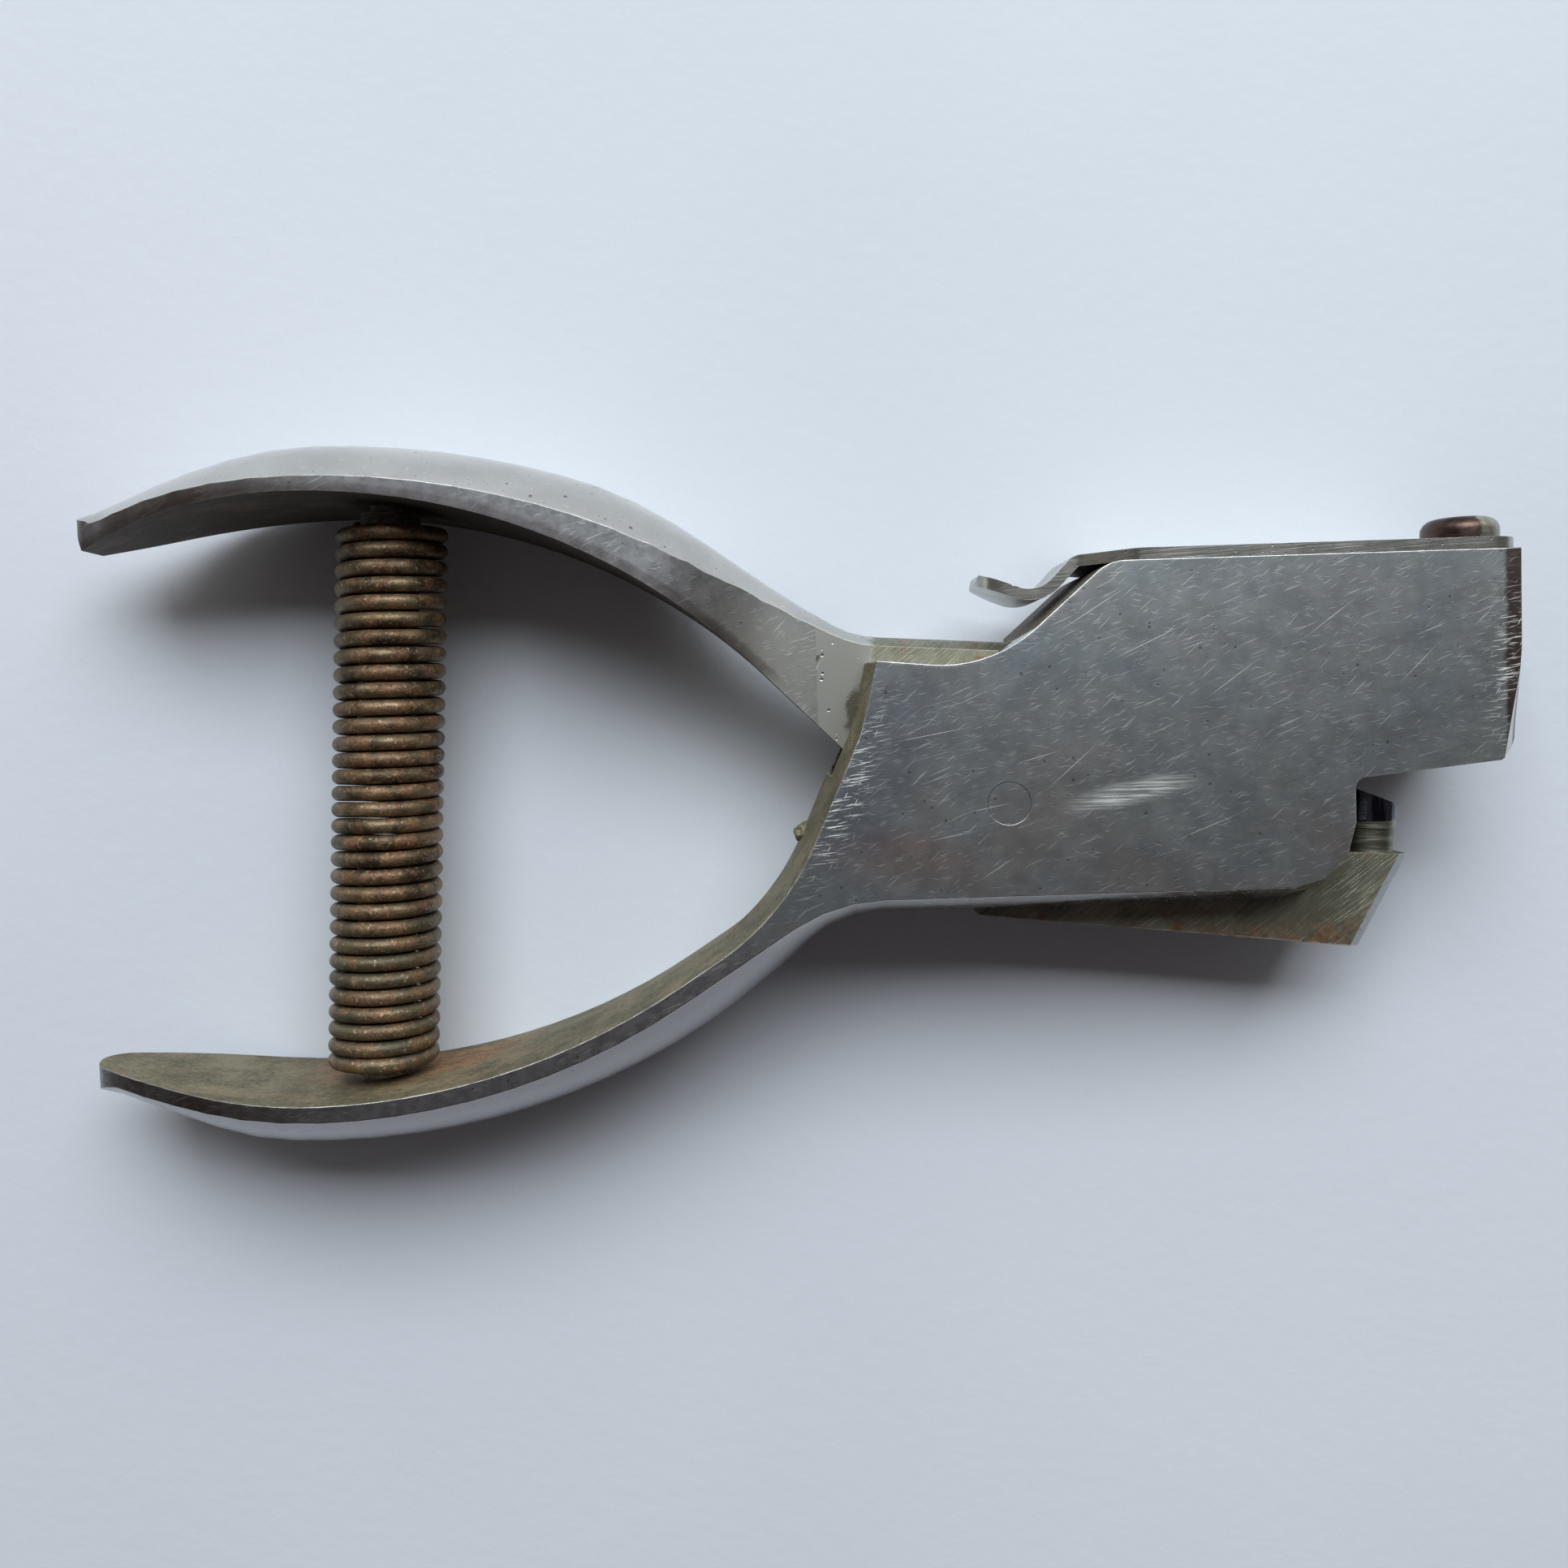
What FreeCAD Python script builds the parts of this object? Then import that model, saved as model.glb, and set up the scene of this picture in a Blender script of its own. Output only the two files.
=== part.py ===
import FreeCAD, Part
import math
import os

os.makedirs("parts", exist_ok=True)

# A hand ticket punch lying on its side, with the handles open.
# The origin is the foot of the pivot axis on the rest face, X runs from the
# handle tips to the jaws, Y from the lower handle to the upper one, and Z up
# from the table. Lengths are millimetres and angles degrees.

# Overall
BODY_WIDTH = 20.0            # across both handles and the head
CLOSING_ANGLE = 9.0          # how far the lever turns from open to closed
PIVOT_PIN_DIAMETER = 4.0
PIVOT_CLEARANCE = 0.03       # radial, of the lever on its pin

# Blade of the lever and the slot that it works in
BLADE_THICKNESS = 6.35
SLOT_SIDE_CLEARANCE = 0.1
INNER_DISTANCE = 6.86        # pivot to the inner face of the lever's neck
INNER_ANGLE = 225.0          # direction of that face
HEEL_DISTANCE = 8.5          # pivot to the back edge of the blade
HEEL_ANGLE = 215.0           # direction of that edge
HEEL_CLEARANCE = 0.4
BLADE_TOP_X = 1.0            # corner of the blade that stops the lever
BLADE_TOP_Y = 15.7
STOP_CLEARANCE = 0.09
CEILING_SLOPE = 25.4         # of the slot above the blade
JAW_ROOT_X = 32.5            # lower end of the blade's upper edge
JAW_ROOT_RADIUS = 0.8
BLADE_BOTTOM_ANGLE = 173.5
BLADE_HEEL_RADIUS = 1.5
JAW_FRONT_X = 40.5
JAW_TOE_X = 35.5
JAW_TOE_Y = -15.7
JAW_BEVEL = 1.1

# Head of the body
HEAD_TOP = 22.3
HEAD_BOTTOM = -8.75
HEAD_END = 48.0              # where the flat sides end
HEAD_CROWN = 2.2             # height of the rounded bottom
END_CROWN = 2.5              # height of the rounded end
END_FLARE = 1.1              # the flat sides draw in by this at the end's foot
END_FLARE_LOW_Y = 6.1
END_FLARE_HIGH_Y = 12.0
END_FLARE_RADIUS = 20.0
CORNER_X = 46.1              # where the cut corner of the upper jaw starts
CORNER_ANGLE = 36.0
THROAT_BACK = 32.4
THROAT_CORNER_RADIUS = 1.0
HEEL_OF_HEAD_RADIUS = 6.0    # below the throat
HEEL_FADE_Y = -1.0           # where the round bottom fades into the throat
THROAT_LOW_Y = -2.4          # lower end of the throat's back wall
SHOULDER_X = 6.0             # a point on the slope up to the cover
SHOULDER_Y = 19.0
SHOULDER_ANGLE = 41.0
SHOULDER_FOOT_RADIUS = 13.0
SHOULDER_CREST_RADIUS = 4.0
SHELF_ANGLE = -6.5           # of the edge from the crotch to the shoulder
CROTCH_TOP_X = -12.0
CROTCH_TOP_Y = 13.8
CROTCH_TOP_SLOPE = 76.5
CROTCH_FOOT_X = -16.1
CROTCH_FOOT_Y = 1.6
CROTCH_SLOPE = 65.5
CROTCH_LOW_RADIUS = 25.0
CROTCH_HIGH_RADIUS = 12.0
CROTCH_BULGE = 1.1           # forged draft on the wall between the handles
HEAD_ROOT_RADIUS = 16.0      # where the lower handle runs into the head
FLASH_WIDTH = 0.8            # flat line left by the trimmed flash

# Chamber that holds the punched chips
CHAMBER_WIDTH = 10.0
CHAMBER_START = 13.0
CHAMBER_END = 43.4
CHAMBER_WALL = 2.6           # above the slot
CHAMBER_CORNER_RADIUS = 1.5

# Punch and die, on one circle about the pivot
PUNCH_ARM = 37.7
DIE_ANGLE = 5.5              # of the die from the X axis
PUNCH_DIAMETER = 5.2
PUNCH_SHANK_DIAMETER = 4.8
PUNCH_STEM_DIAMETER = 2.8
PUNCH_STEM_LENGTH = 2.4
PUNCH_SEAT_DROP = 4.2        # below the point where its axis meets the circle
PUNCH_TIP_DROP = 1.8
PUNCH_TIP_RISE = 1.3
PUNCH_SHEAR_ANGLE = 19.5
DIE_CLEARANCE = 0.2          # radial, round the punch
DIE_DIAMETER = 8.4
DIE_FACE_DROP = 1.8
DIE_LENGTH = 4.7
DIE_LAND = 2.2
DIE_RELIEF = 0.4             # radial, above the land

# Handles
LOWER_TIP = -90.8
UPPER_TIP = -90.3
PAST_TIP = 4.0               # the edge lines run on past the tips by this
LOWER_TIP_Y = -22.95         # inner edge of the lower handle, past its tip
LOWER_BACK_X = -80.0         # a point on that edge, back from the tip
LOWER_BACK_Y = -25.35
LOWER_BACK_SLOPE = -9.4
LOWER_FRONT_X = -30.0        # and a point near the head
LOWER_FRONT_Y = -15.5
LOWER_FRONT_SLOPE = 32.5
LOWER_RIM = 1.5              # thickness of the lower handle at its edges
LOWER_RIM_FRONT = 1.8        # and near the head
UPPER_TIP_Y = 25.8           # inner edge of the upper handle, past its tip
UPPER_BACK_X = -90.0
UPPER_BACK_Y = 27.1
UPPER_BACK_SLOPE = 15.0
UPPER_FRONT_X = -15.4
UPPER_FRONT_Y = 5.7
UPPER_FRONT_SLOPE = -45.0
UPPER_RIM_TIP_Y = 27.9       # outer rim of the upper handle, past its tip
UPPER_RIM_BACK_X = -84.0
UPPER_RIM_BACK_Y = 30.55
UPPER_RIM_BACK_SLOPE = 13.5
UPPER_RIM_FRONT_X = -26.0
UPPER_RIM_FRONT_Y = 21.8
UPPER_RIM_FRONT_SLOPE = -27.5
NECK_TOP_X = -3.0
NECK_TOP_Y = 14.7
NECK_TOP_SLOPE = -4.0
NECK_TOP_RADIUS = 12.0
END_FACE_Y = 29.5            # upper corner of the upper handle's end face
END_FACE_ANGLE = 114.6
LOWER_CROWN = 4.0            # height of the rounded outer face on the handle
LOWER_CROWN_X = -71.0        # where it reaches that height
LOWER_CROWN_END_X = -32.0    # where it starts to sink into the head
HEAD_CROWN_X = -12.0
UPPER_CROWN = 4.3
UPPER_CROWN_X = -66.0
UPPER_CROWN_END_X = -42.0
NECK_CROWN = 1.1
NECK_CROWN_X = -14.0
LOWER_TIP_CROWN = 1.4
UPPER_TIP_CROWN = 1.6
LOWER_BOW_RADIUS = 66.0
UPPER_BOW_RADIUS = 62.0
UPPER_RIM_RADIUS = 79.3
TAPER_START = -66.0          # where the plan starts to narrow to the tip
LOWER_TIP_HALF_WIDTH = 3.4
UPPER_TIP_HALF_WIDTH = 2.6
TIP_ROUND = 1.6              # length of the rounded tip
NECK_START = -37.0           # where the lever narrows to its blade
NECK_END = -17.5

# Spring between the handles and the two stems inside it
SPRING_TOP_X = -59.3
SPRING_BOTTOM_X = -62.4
SPRING_DIAMETER = 10.9
SPRING_WIRE = 1.5
SPRING_OPEN_TURNS = 12       # at each end, between the closed end turns
SPRING_CLOSE_TURNS = 6       # in the middle
SPRING_CLOSE_PITCH = 1.62
SPRING_END_PITCH = 1.53
SPRING_END_GAP = 0.1         # between the end turns and the handles
SPRING_SEAT_RISE = 1.0       # of the curved handles under the end turns
STEM_DIAMETER = 5.8
STEM_CHAMFER = 0.8
STEM_TENON_DIAMETER = 4.0
STEM_TENON_LENGTH = 2.6
STEM_SHOULDER_GAP = 0.8      # between the stem's shoulder and the curved handle
STEM_GAP = 0.6               # left between the stems when closed
LOWER_STEM_ANGLE = 182.6     # of its tip about the pivot

# Cover over the chip chamber, and its rivet
COVER_THICKNESS = 1.1
COVER_WIDTH = 19.0
COVER_GAP = 0.05             # over the head
COVER_START = 8.0            # underside of its bend
COVER_END = 48.7
COVER_CORNER_RADIUS = 3.0
BEND_ANGLE = 46.0            # of the tab below the cover
BEND_RADIUS = 0.5            # inside the bend
TAB_WIDTH = 9.6
TAB_LOW_X = 3.0
TAB_DROP = 3.3               # of the tab's hollow below the cover
TAB_HOLLOW_RADIUS = 3.0
TAB_TIP_X = -1.8
TAB_TIP_RISE = 1.9
TAB_ROOT_RADIUS = 1.5
TAB_CORNER_RADIUS = 3.5
RIVET_X = 47.0
RIVET_HEAD_DIAMETER = 7.3
RIVET_HEAD_HEIGHT = 2.8
RIVET_HEAD_ROUND = 1.3
RIVET_SHANK_DIAMETER = 3.4
RIVET_DEPTH = 7.0
RIVET_CLEARANCE = 0.05

MID = BODY_WIDTH / 2.0
SLOT_WIDTH = BLADE_THICKNESS + 2 * SLOT_SIDE_CLEARANCE
PUNCH_ANGLE = DIE_ANGLE - CLOSING_ANGLE
REACH = HEAD_END - LOWER_TIP  # a cutter as long as the tool passes right through
POINTS_PER_TURN = 8          # that the spring's wire passes through
CROWN_HALF_WIDTH = 3.3       # the least that a round face is shaped for
NO_CROWN = 0.3               # where a round face has all but faded out
SECTION_STEP = 4.0           # between the sections that shape a round face
STOCK = 1.0                  # left outside a round face before it is cut
OVERLAP = 0.4                # a cutter's reach past the flat sides
BEYOND = 5.0                 # and past a round face
MARGIN = 1.0                 # and past a flat one


def vec(x, y, z=0.0):
    return FreeCAD.Vector(x, y, z)


def polar(radius, angle):
    a = math.radians(angle)
    return radius * math.cos(a), radius * math.sin(a)


def meet(p, p_angle, q, q_angle):
    """Where the line through p at p_angle meets the line through q."""
    ux, uy = polar(1.0, p_angle)
    wx, wy = polar(1.0, q_angle)
    t = ((q[0] - p[0]) * wy - (q[1] - p[1]) * wx) / (ux * wy - uy * wx)
    return p[0] + t * ux, p[1] + t * uy


def along(p, angle, distance):
    dx, dy = polar(distance, angle)
    return p[0] + dx, p[1] + dy


def rounded_path(corners, closed=True):
    """Edges through corners given as (x, y) or (x, y, radius)."""
    count = len(corners)
    spans = []
    for i, corner in enumerate(corners):
        here = vec(corner[0], corner[1])
        radius = corner[2] if len(corner) > 2 else 0.0
        if radius == 0.0 or (not closed and i in (0, count - 1)):
            spans.append((here, here, here))
            continue
        before = corners[i - 1]
        after = corners[(i + 1) % count]
        back = (vec(before[0], before[1]) - here).normalize()
        ahead = (vec(after[0], after[1]) - here).normalize()
        half = back.getAngle(ahead) / 2.0
        reach = radius / math.tan(half)
        inward = (back + ahead).normalize()
        middle = here + inward * (radius / math.sin(half) - radius)
        spans.append((here + back * reach, middle, here + ahead * reach))
    edges = []
    for i, (start, middle, stop) in enumerate(spans):
        if (stop - start).Length > 1e-6:
            edges.append(Part.Arc(start, middle, stop).toShape())
        if not closed and i == count - 1:
            break
        following = spans[(i + 1) % count][0]
        if (following - stop).Length > 1e-6:
            edges.append(Part.LineSegment(stop, following).toShape())
    return edges


def prism(corners, low, high):
    """A solid with this outline in X and Y, from low to high in Z."""
    face = Part.Face(Part.Wire(rounded_path(corners)))
    face.translate(vec(0, 0, low))
    return face.extrude(vec(0, 0, high - low))


def stand_up(solid):
    """Turn an outline drawn in X and Y so that it lies in X and Z."""
    solid.rotate(vec(0, 0, 0), vec(1, 0, 0), 90)
    return solid


def rod(start, angle, radius, length, z=MID):
    """A round bar from a point in X and Y, at an angle in that plane."""
    dx, dy = polar(1.0, angle)
    return Part.makeCylinder(radius, length, vec(start[0], start[1], z), vec(dx, dy, 0))


def smooth_step(value, start, end, first, last):
    t = min(max((value - start) / (end - start), 0.0), 1.0)
    t = t * t * (3 - 2 * t)
    return first + (last - first) * t


def outside_crown(path, half_width, height, side):
    """The space outside a face that is rounded across its width.

    The path is where the round face meets the flat sides.
    """
    places = []
    for edge in rounded_path(path, closed=False):
        steps = max(3, math.ceil(edge.Length / SECTION_STEP))
        span = edge.LastParameter - edge.FirstParameter
        for k in range(steps):
            t = edge.FirstParameter + span * k / steps
            places.append((edge.valueAt(t), edge.tangentAt(t)))
    places.append((edge.valueAt(edge.LastParameter), edge.tangentAt(edge.LastParameter)))
    sections = []
    for point, tangent in places:
        out = vec(tangent.y, -tangent.x) * side
        w = max(half_width(point), CROWN_HALF_WIDTH)
        h = height(point)
        radius = (w * w + h * h) / (2 * h)
        reach = w + OVERLAP
        rise = h - radius + math.sqrt(radius * radius - reach * reach)
        far = h + BEYOND
        corners = []
        for distance, z in ((rise, -reach), (h, 0.0), (rise, reach), (far, reach), (far, -reach)):
            corners.append(point + out * distance + vec(0, 0, MID + z))
        low, top, high, far_high, far_low = corners
        sections.append(Part.Wire([
            Part.Arc(low, top, high).toShape(),
            Part.LineSegment(high, far_high).toShape(),
            Part.LineSegment(far_high, far_low).toShape(),
            Part.LineSegment(far_low, low).toShape(),
        ]))
    return Part.makeLoft(sections, True, True)


def tip_half_width(x, tip, end_w):
    """Half the width of a handle where it narrows in an arc to its tip."""
    length = TAPER_START - tip - TIP_ROUND
    drop = MID - end_w
    radius = (length ** 2 + drop ** 2) / (2 * drop)
    past = min(max(TAPER_START - x, 0.0), length)
    return MID - radius + math.sqrt(radius ** 2 - past ** 2)


def tip_plan(tip, end_w, right):
    """Plan of a handle in X and Z, from its round tip to the right."""
    end_x = tip + TIP_ROUND
    mid_x = (TAPER_START + end_x) / 2.0
    mid_w = tip_half_width(mid_x, tip, end_w)
    edges = [
        Part.LineSegment(vec(right, MID), vec(TAPER_START, MID)).toShape(),
        Part.Arc(vec(TAPER_START, MID), vec(mid_x, mid_w), vec(end_x, end_w)).toShape(),
        Part.Arc(vec(end_x, end_w), vec(tip, 0), vec(end_x, -end_w)).toShape(),
        Part.Arc(vec(end_x, -end_w), vec(mid_x, -mid_w), vec(TAPER_START, -MID)).toShape(),
        Part.LineSegment(vec(TAPER_START, -MID), vec(right, -MID)).toShape(),
    ]
    return edges


def plan_solid(edges):
    face = Part.Face(Part.Wire(edges))
    face.translate(vec(0, MID, -REACH))
    return stand_up(face.extrude(vec(0, 0, 2 * REACH)))


def lower_inner_path(bulge):
    """Inner edge of the lower handle and the crotch, from tip to top."""
    out = along((0.0, 0.0), CROTCH_SLOPE + 90, bulge)
    front = (LOWER_FRONT_X, LOWER_FRONT_Y)
    foot = (CROTCH_FOOT_X, CROTCH_FOOT_Y)
    top = (CROTCH_TOP_X, CROTCH_TOP_Y)
    bow = meet((LOWER_BACK_X, LOWER_BACK_Y), LOWER_BACK_SLOPE, front, LOWER_FRONT_SLOPE)
    crotch = meet(front, LOWER_FRONT_SLOPE, foot, CROTCH_SLOPE)
    knee = meet(foot, CROTCH_SLOPE, top, CROTCH_TOP_SLOPE)
    return [
        (LOWER_TIP - PAST_TIP, LOWER_TIP_Y),
        (bow[0], bow[1], LOWER_BOW_RADIUS),
        (crotch[0] + out[0], crotch[1] + out[1], CROTCH_LOW_RADIUS),
        (knee[0] + out[0], knee[1] + out[1], CROTCH_HIGH_RADIUS),
        (CROTCH_TOP_X - bulge, CROTCH_TOP_Y),
    ]


def lower_rim_path():
    """Where the round underside of the body meets its flat sides."""
    back = (LOWER_BACK_X, LOWER_BACK_Y - LOWER_RIM)
    front = (LOWER_FRONT_X, LOWER_FRONT_Y - LOWER_RIM_FRONT)
    bow = meet(back, LOWER_BACK_SLOPE, front, LOWER_FRONT_SLOPE)
    root = meet(front, LOWER_FRONT_SLOPE, (0.0, HEAD_BOTTOM), 0.0)
    return [
        (LOWER_TIP - PAST_TIP, LOWER_TIP_Y - LOWER_RIM),
        (bow[0], bow[1], LOWER_BOW_RADIUS),
        (root[0], root[1], HEAD_ROOT_RADIUS),
        (THROAT_BACK, HEAD_BOTTOM, HEEL_OF_HEAD_RADIUS),
        (THROAT_BACK, HEEL_FADE_Y + MARGIN),
    ]


def lower_crown_height(point):
    if point.x < (LOWER_CROWN_X + LOWER_CROWN_END_X) / 2:
        return smooth_step(point.x, LOWER_TIP, LOWER_CROWN_X, LOWER_TIP_CROWN, LOWER_CROWN)
    if point.x < 0.0:
        return smooth_step(point.x, LOWER_CROWN_END_X, HEAD_CROWN_X, LOWER_CROWN, HEAD_CROWN)
    return smooth_step(point.y, HEAD_BOTTOM, HEEL_FADE_Y, HEAD_CROWN, NO_CROWN)


def lower_half_width(point):
    return tip_half_width(point.x, LOWER_TIP, LOWER_TIP_HALF_WIDTH)


def head_end_path():
    """Where the round end of the head meets its flat sides, from below."""
    foot = (HEAD_END - END_FLARE, END_FLARE_LOW_Y)
    turn = (HEAD_END, END_FLARE_HIGH_Y)
    lean = math.degrees(math.atan2(turn[1] - foot[1], turn[0] - foot[0]))
    low = meet(foot, lean, (0.0, 0.0), 0.0)
    return [low, (turn[0], turn[1], END_FLARE_RADIUS), (HEAD_END, HEAD_TOP + BEYOND)]


def head_end_crown(point):
    return END_CROWN + HEAD_END - point.x


def jaw_line():
    """A point on the underside of the fixed jaw, square to the die."""
    middle = polar(PUNCH_ARM, DIE_ANGLE)
    return along(middle, DIE_ANGLE + 90, -DIE_FACE_DROP)


def slot_ceiling():
    """A point on the slot's ceiling, close over the stop of the blade."""
    return along((BLADE_TOP_X, BLADE_TOP_Y), 90 - CEILING_SLOPE, STOP_CLEARANCE)


def body_outline():
    inner = lower_inner_path(CROTCH_BULGE)
    rim = lower_rim_path()
    stock = HEAD_CROWN + STOCK
    deep = LOWER_CROWN + STOCK
    slope = (SHOULDER_X, SHOULDER_Y)
    foot = meet((CROTCH_TOP_X, CROTCH_TOP_Y), SHELF_ANGLE, slope, SHOULDER_ANGLE)
    crest = meet((0.0, HEAD_TOP), 0.0, slope, SHOULDER_ANGLE)
    jaw = jaw_line()
    corner = meet(jaw, DIE_ANGLE, (CORNER_X, 0.0), 90.0)
    end_x = HEAD_END + END_CROWN + STOCK
    corner_end = meet(corner, CORNER_ANGLE, (end_x, 0.0), 90.0)
    throat = meet(jaw, DIE_ANGLE, (THROAT_BACK, 0.0), 90.0)
    return inner + [
        (foot[0], foot[1], SHOULDER_FOOT_RADIUS),
        (crest[0], crest[1], SHOULDER_CREST_RADIUS),
        (end_x, HEAD_TOP),
        corner_end,
        corner,
        (throat[0], throat[1], THROAT_CORNER_RADIUS),
        (THROAT_BACK, THROAT_LOW_Y),
        (THROAT_BACK + stock, THROAT_LOW_Y),
        (THROAT_BACK + stock, HEAD_BOTTOM - stock, HEEL_OF_HEAD_RADIUS + stock),
        (rim[2][0], HEAD_BOTTOM - stock - STOCK),
        (rim[1][0], rim[1][1] - deep - STOCK, LOWER_BOW_RADIUS),
        (rim[0][0], rim[0][1] - deep),
    ]


def crotch_draft(side):
    """Space beyond the sloping crotch wall, on one side of the flash line."""
    slope = CROTCH_BULGE / (MID - FLASH_WIDTH / 2.0)
    faces = []
    for distance in (FLASH_WIDTH / 2.0 - MARGIN, MID + MARGIN):
        bulge = CROTCH_BULGE - (distance - FLASH_WIDTH / 2.0) * slope
        path = lower_inner_path(bulge)
        path[-1] = along(path[-1], CROTCH_TOP_SLOPE, HEAD_TOP)
        path.append((path[0][0], path[-1][1]))
        wire = Part.Wire(rounded_path(path))
        wire.translate(vec(0, 0, MID + side * distance))
        faces.append(wire)
    return Part.makeLoft(faces, True, True)


def make_slot():
    ceiling = slot_ceiling()
    far = along(ceiling, 180 - CEILING_SLOPE, REACH)
    near = meet(ceiling, -CEILING_SLOPE, (THROAT_BACK + MARGIN, 0.0), 90.0)
    gap = HEEL_DISTANCE + HEEL_CLEARANCE
    open_line = polar(gap, HEEL_ANGLE)
    closed_line = polar(gap, HEEL_ANGLE + CLOSING_ANGLE)
    bend = meet(open_line, HEEL_ANGLE + 90, closed_line, HEEL_ANGLE + CLOSING_ANGLE + 90)
    neck_angle = INNER_ANGLE + CLOSING_ANGLE
    neck_line = polar(INNER_DISTANCE + HEEL_CLEARANCE, neck_angle)
    corner = meet(closed_line, HEEL_ANGLE + CLOSING_ANGLE + 90, neck_line, neck_angle + 90)
    mouth = along(corner, neck_angle - 90, REACH)
    bottom = along(bend, HEEL_ANGLE + 90, REACH)
    outline = [far, near, (near[0], bottom[1]), bottom, bend, corner, mouth]
    return prism(outline, MID - SLOT_WIDTH / 2, MID + SLOT_WIDTH / 2)


def make_chamber():
    ceiling = slot_ceiling()
    above = along(ceiling, 90 - CEILING_SLOPE, CHAMBER_WALL)
    floor = along(polar(PUNCH_ARM, DIE_ANGLE), DIE_ANGLE + 90, DIE_LENGTH - DIE_FACE_DROP)
    start = meet(above, -CEILING_SLOPE, (CHAMBER_START, 0.0), 90.0)
    low = meet(above, -CEILING_SLOPE, floor, DIE_ANGLE)
    end = meet(floor, DIE_ANGLE, (CHAMBER_END, 0.0), 90.0)
    outline = [
        (CHAMBER_START, HEAD_TOP + BEYOND),
        start,
        low,
        (end[0], end[1], CHAMBER_CORNER_RADIUS),
        (CHAMBER_END, HEAD_TOP + BEYOND),
    ]
    return prism(outline, MID - CHAMBER_WIDTH / 2, MID + CHAMBER_WIDTH / 2)


def stem_foot(tip, foot_x, path):
    """Angle of a stem and where it meets the handle's inner face."""
    face = Part.Wire(rounded_path(path, closed=False))
    probe = Part.LineSegment(vec(foot_x, -REACH), vec(foot_x, REACH)).toShape()
    distance, pairs, info = face.distToShape(probe)
    foot = pairs[0][0]
    lean = math.degrees(math.atan2(foot.y - tip[1], foot.x - tip[0]))
    return (foot.x, foot.y), lean


def spring_seats():
    """Where the spring's middle line meets the two handles."""
    top = stem_foot((SPRING_TOP_X, 0.0), SPRING_TOP_X, upper_inner_path())[0]
    bottom = stem_foot((SPRING_BOTTOM_X, 0.0), SPRING_BOTTOM_X, lower_inner_path(0.0))[0]
    return top, bottom


def spring_arm():
    """Distance from the pivot to the spring, where the stems meet."""
    top, bottom = spring_seats()
    lean = math.degrees(math.atan2(top[1] - bottom[1], top[0] - bottom[0]))
    middle = meet((0.0, 0.0), LOWER_STEM_ANGLE, bottom, lean)
    return math.hypot(middle[0], middle[1])


def lower_stem_place():
    tip = polar(spring_arm(), LOWER_STEM_ANGLE)
    foot, lean = stem_foot(tip, SPRING_BOTTOM_X, lower_inner_path(0.0))
    return tip, foot, lean


def upper_stem_place():
    arm = spring_arm()
    gap = math.degrees(STEM_GAP / arm)
    tip = polar(arm, LOWER_STEM_ANGLE - CLOSING_ANGLE - gap)
    foot, lean = stem_foot(tip, SPRING_TOP_X, upper_inner_path())
    return tip, foot, lean


def stem_socket(place):
    tip, foot, lean = place
    start = along(foot, lean, -STEM_TENON_LENGTH)
    return rod(start, lean, STEM_TENON_DIAMETER / 2, 2 * STEM_TENON_LENGTH)


def die_hole():
    middle = polar(PUNCH_ARM, DIE_ANGLE)
    start = along(middle, DIE_ANGLE + 90, -DIE_FACE_DROP - MARGIN)
    return rod(start, DIE_ANGLE + 90, DIE_DIAMETER / 2, DIE_LENGTH + 2 * MARGIN)


def make_body():
    body = prism(body_outline(), 0, BODY_WIDTH)
    body = body.cut(outside_crown(lower_rim_path(), lower_half_width, lower_crown_height, 1))
    body = body.cut(outside_crown(head_end_path(), lambda point: MID, head_end_crown, 1))
    plan = tip_plan(LOWER_TIP, LOWER_TIP_HALF_WIDTH, REACH)
    plan.append(Part.LineSegment(vec(REACH, -MID), vec(REACH, MID)).toShape())
    body = body.common(plan_solid(plan))
    body = body.cut(crotch_draft(1))
    body = body.cut(crotch_draft(-1))
    body = body.cut(make_slot())
    body = body.cut(make_chamber())
    body = body.cut(die_hole())
    body = body.cut(Part.makeCylinder(PIVOT_PIN_DIAMETER / 2, BODY_WIDTH))
    body = body.cut(stem_socket(lower_stem_place()))
    rivet_foot = (RIVET_X, HEAD_TOP - RIVET_DEPTH)
    return body.cut(rod(rivet_foot, 90, RIVET_SHANK_DIAMETER / 2, RIVET_DEPTH + MARGIN))


def upper_inner_path():
    """Inner edge of the upper handle, from its tip to the heel."""
    tip = (UPPER_TIP - PAST_TIP, UPPER_TIP_Y)
    back = (UPPER_BACK_X, UPPER_BACK_Y)
    bow = meet(back, UPPER_BACK_SLOPE, (UPPER_FRONT_X, UPPER_FRONT_Y), UPPER_FRONT_SLOPE)
    face = polar(INNER_DISTANCE, INNER_ANGLE)
    heel = meet(face, INNER_ANGLE + 90, polar(HEEL_DISTANCE, HEEL_ANGLE), HEEL_ANGLE + 90)
    return [tip, (bow[0], bow[1], UPPER_BOW_RADIUS), heel]


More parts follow.
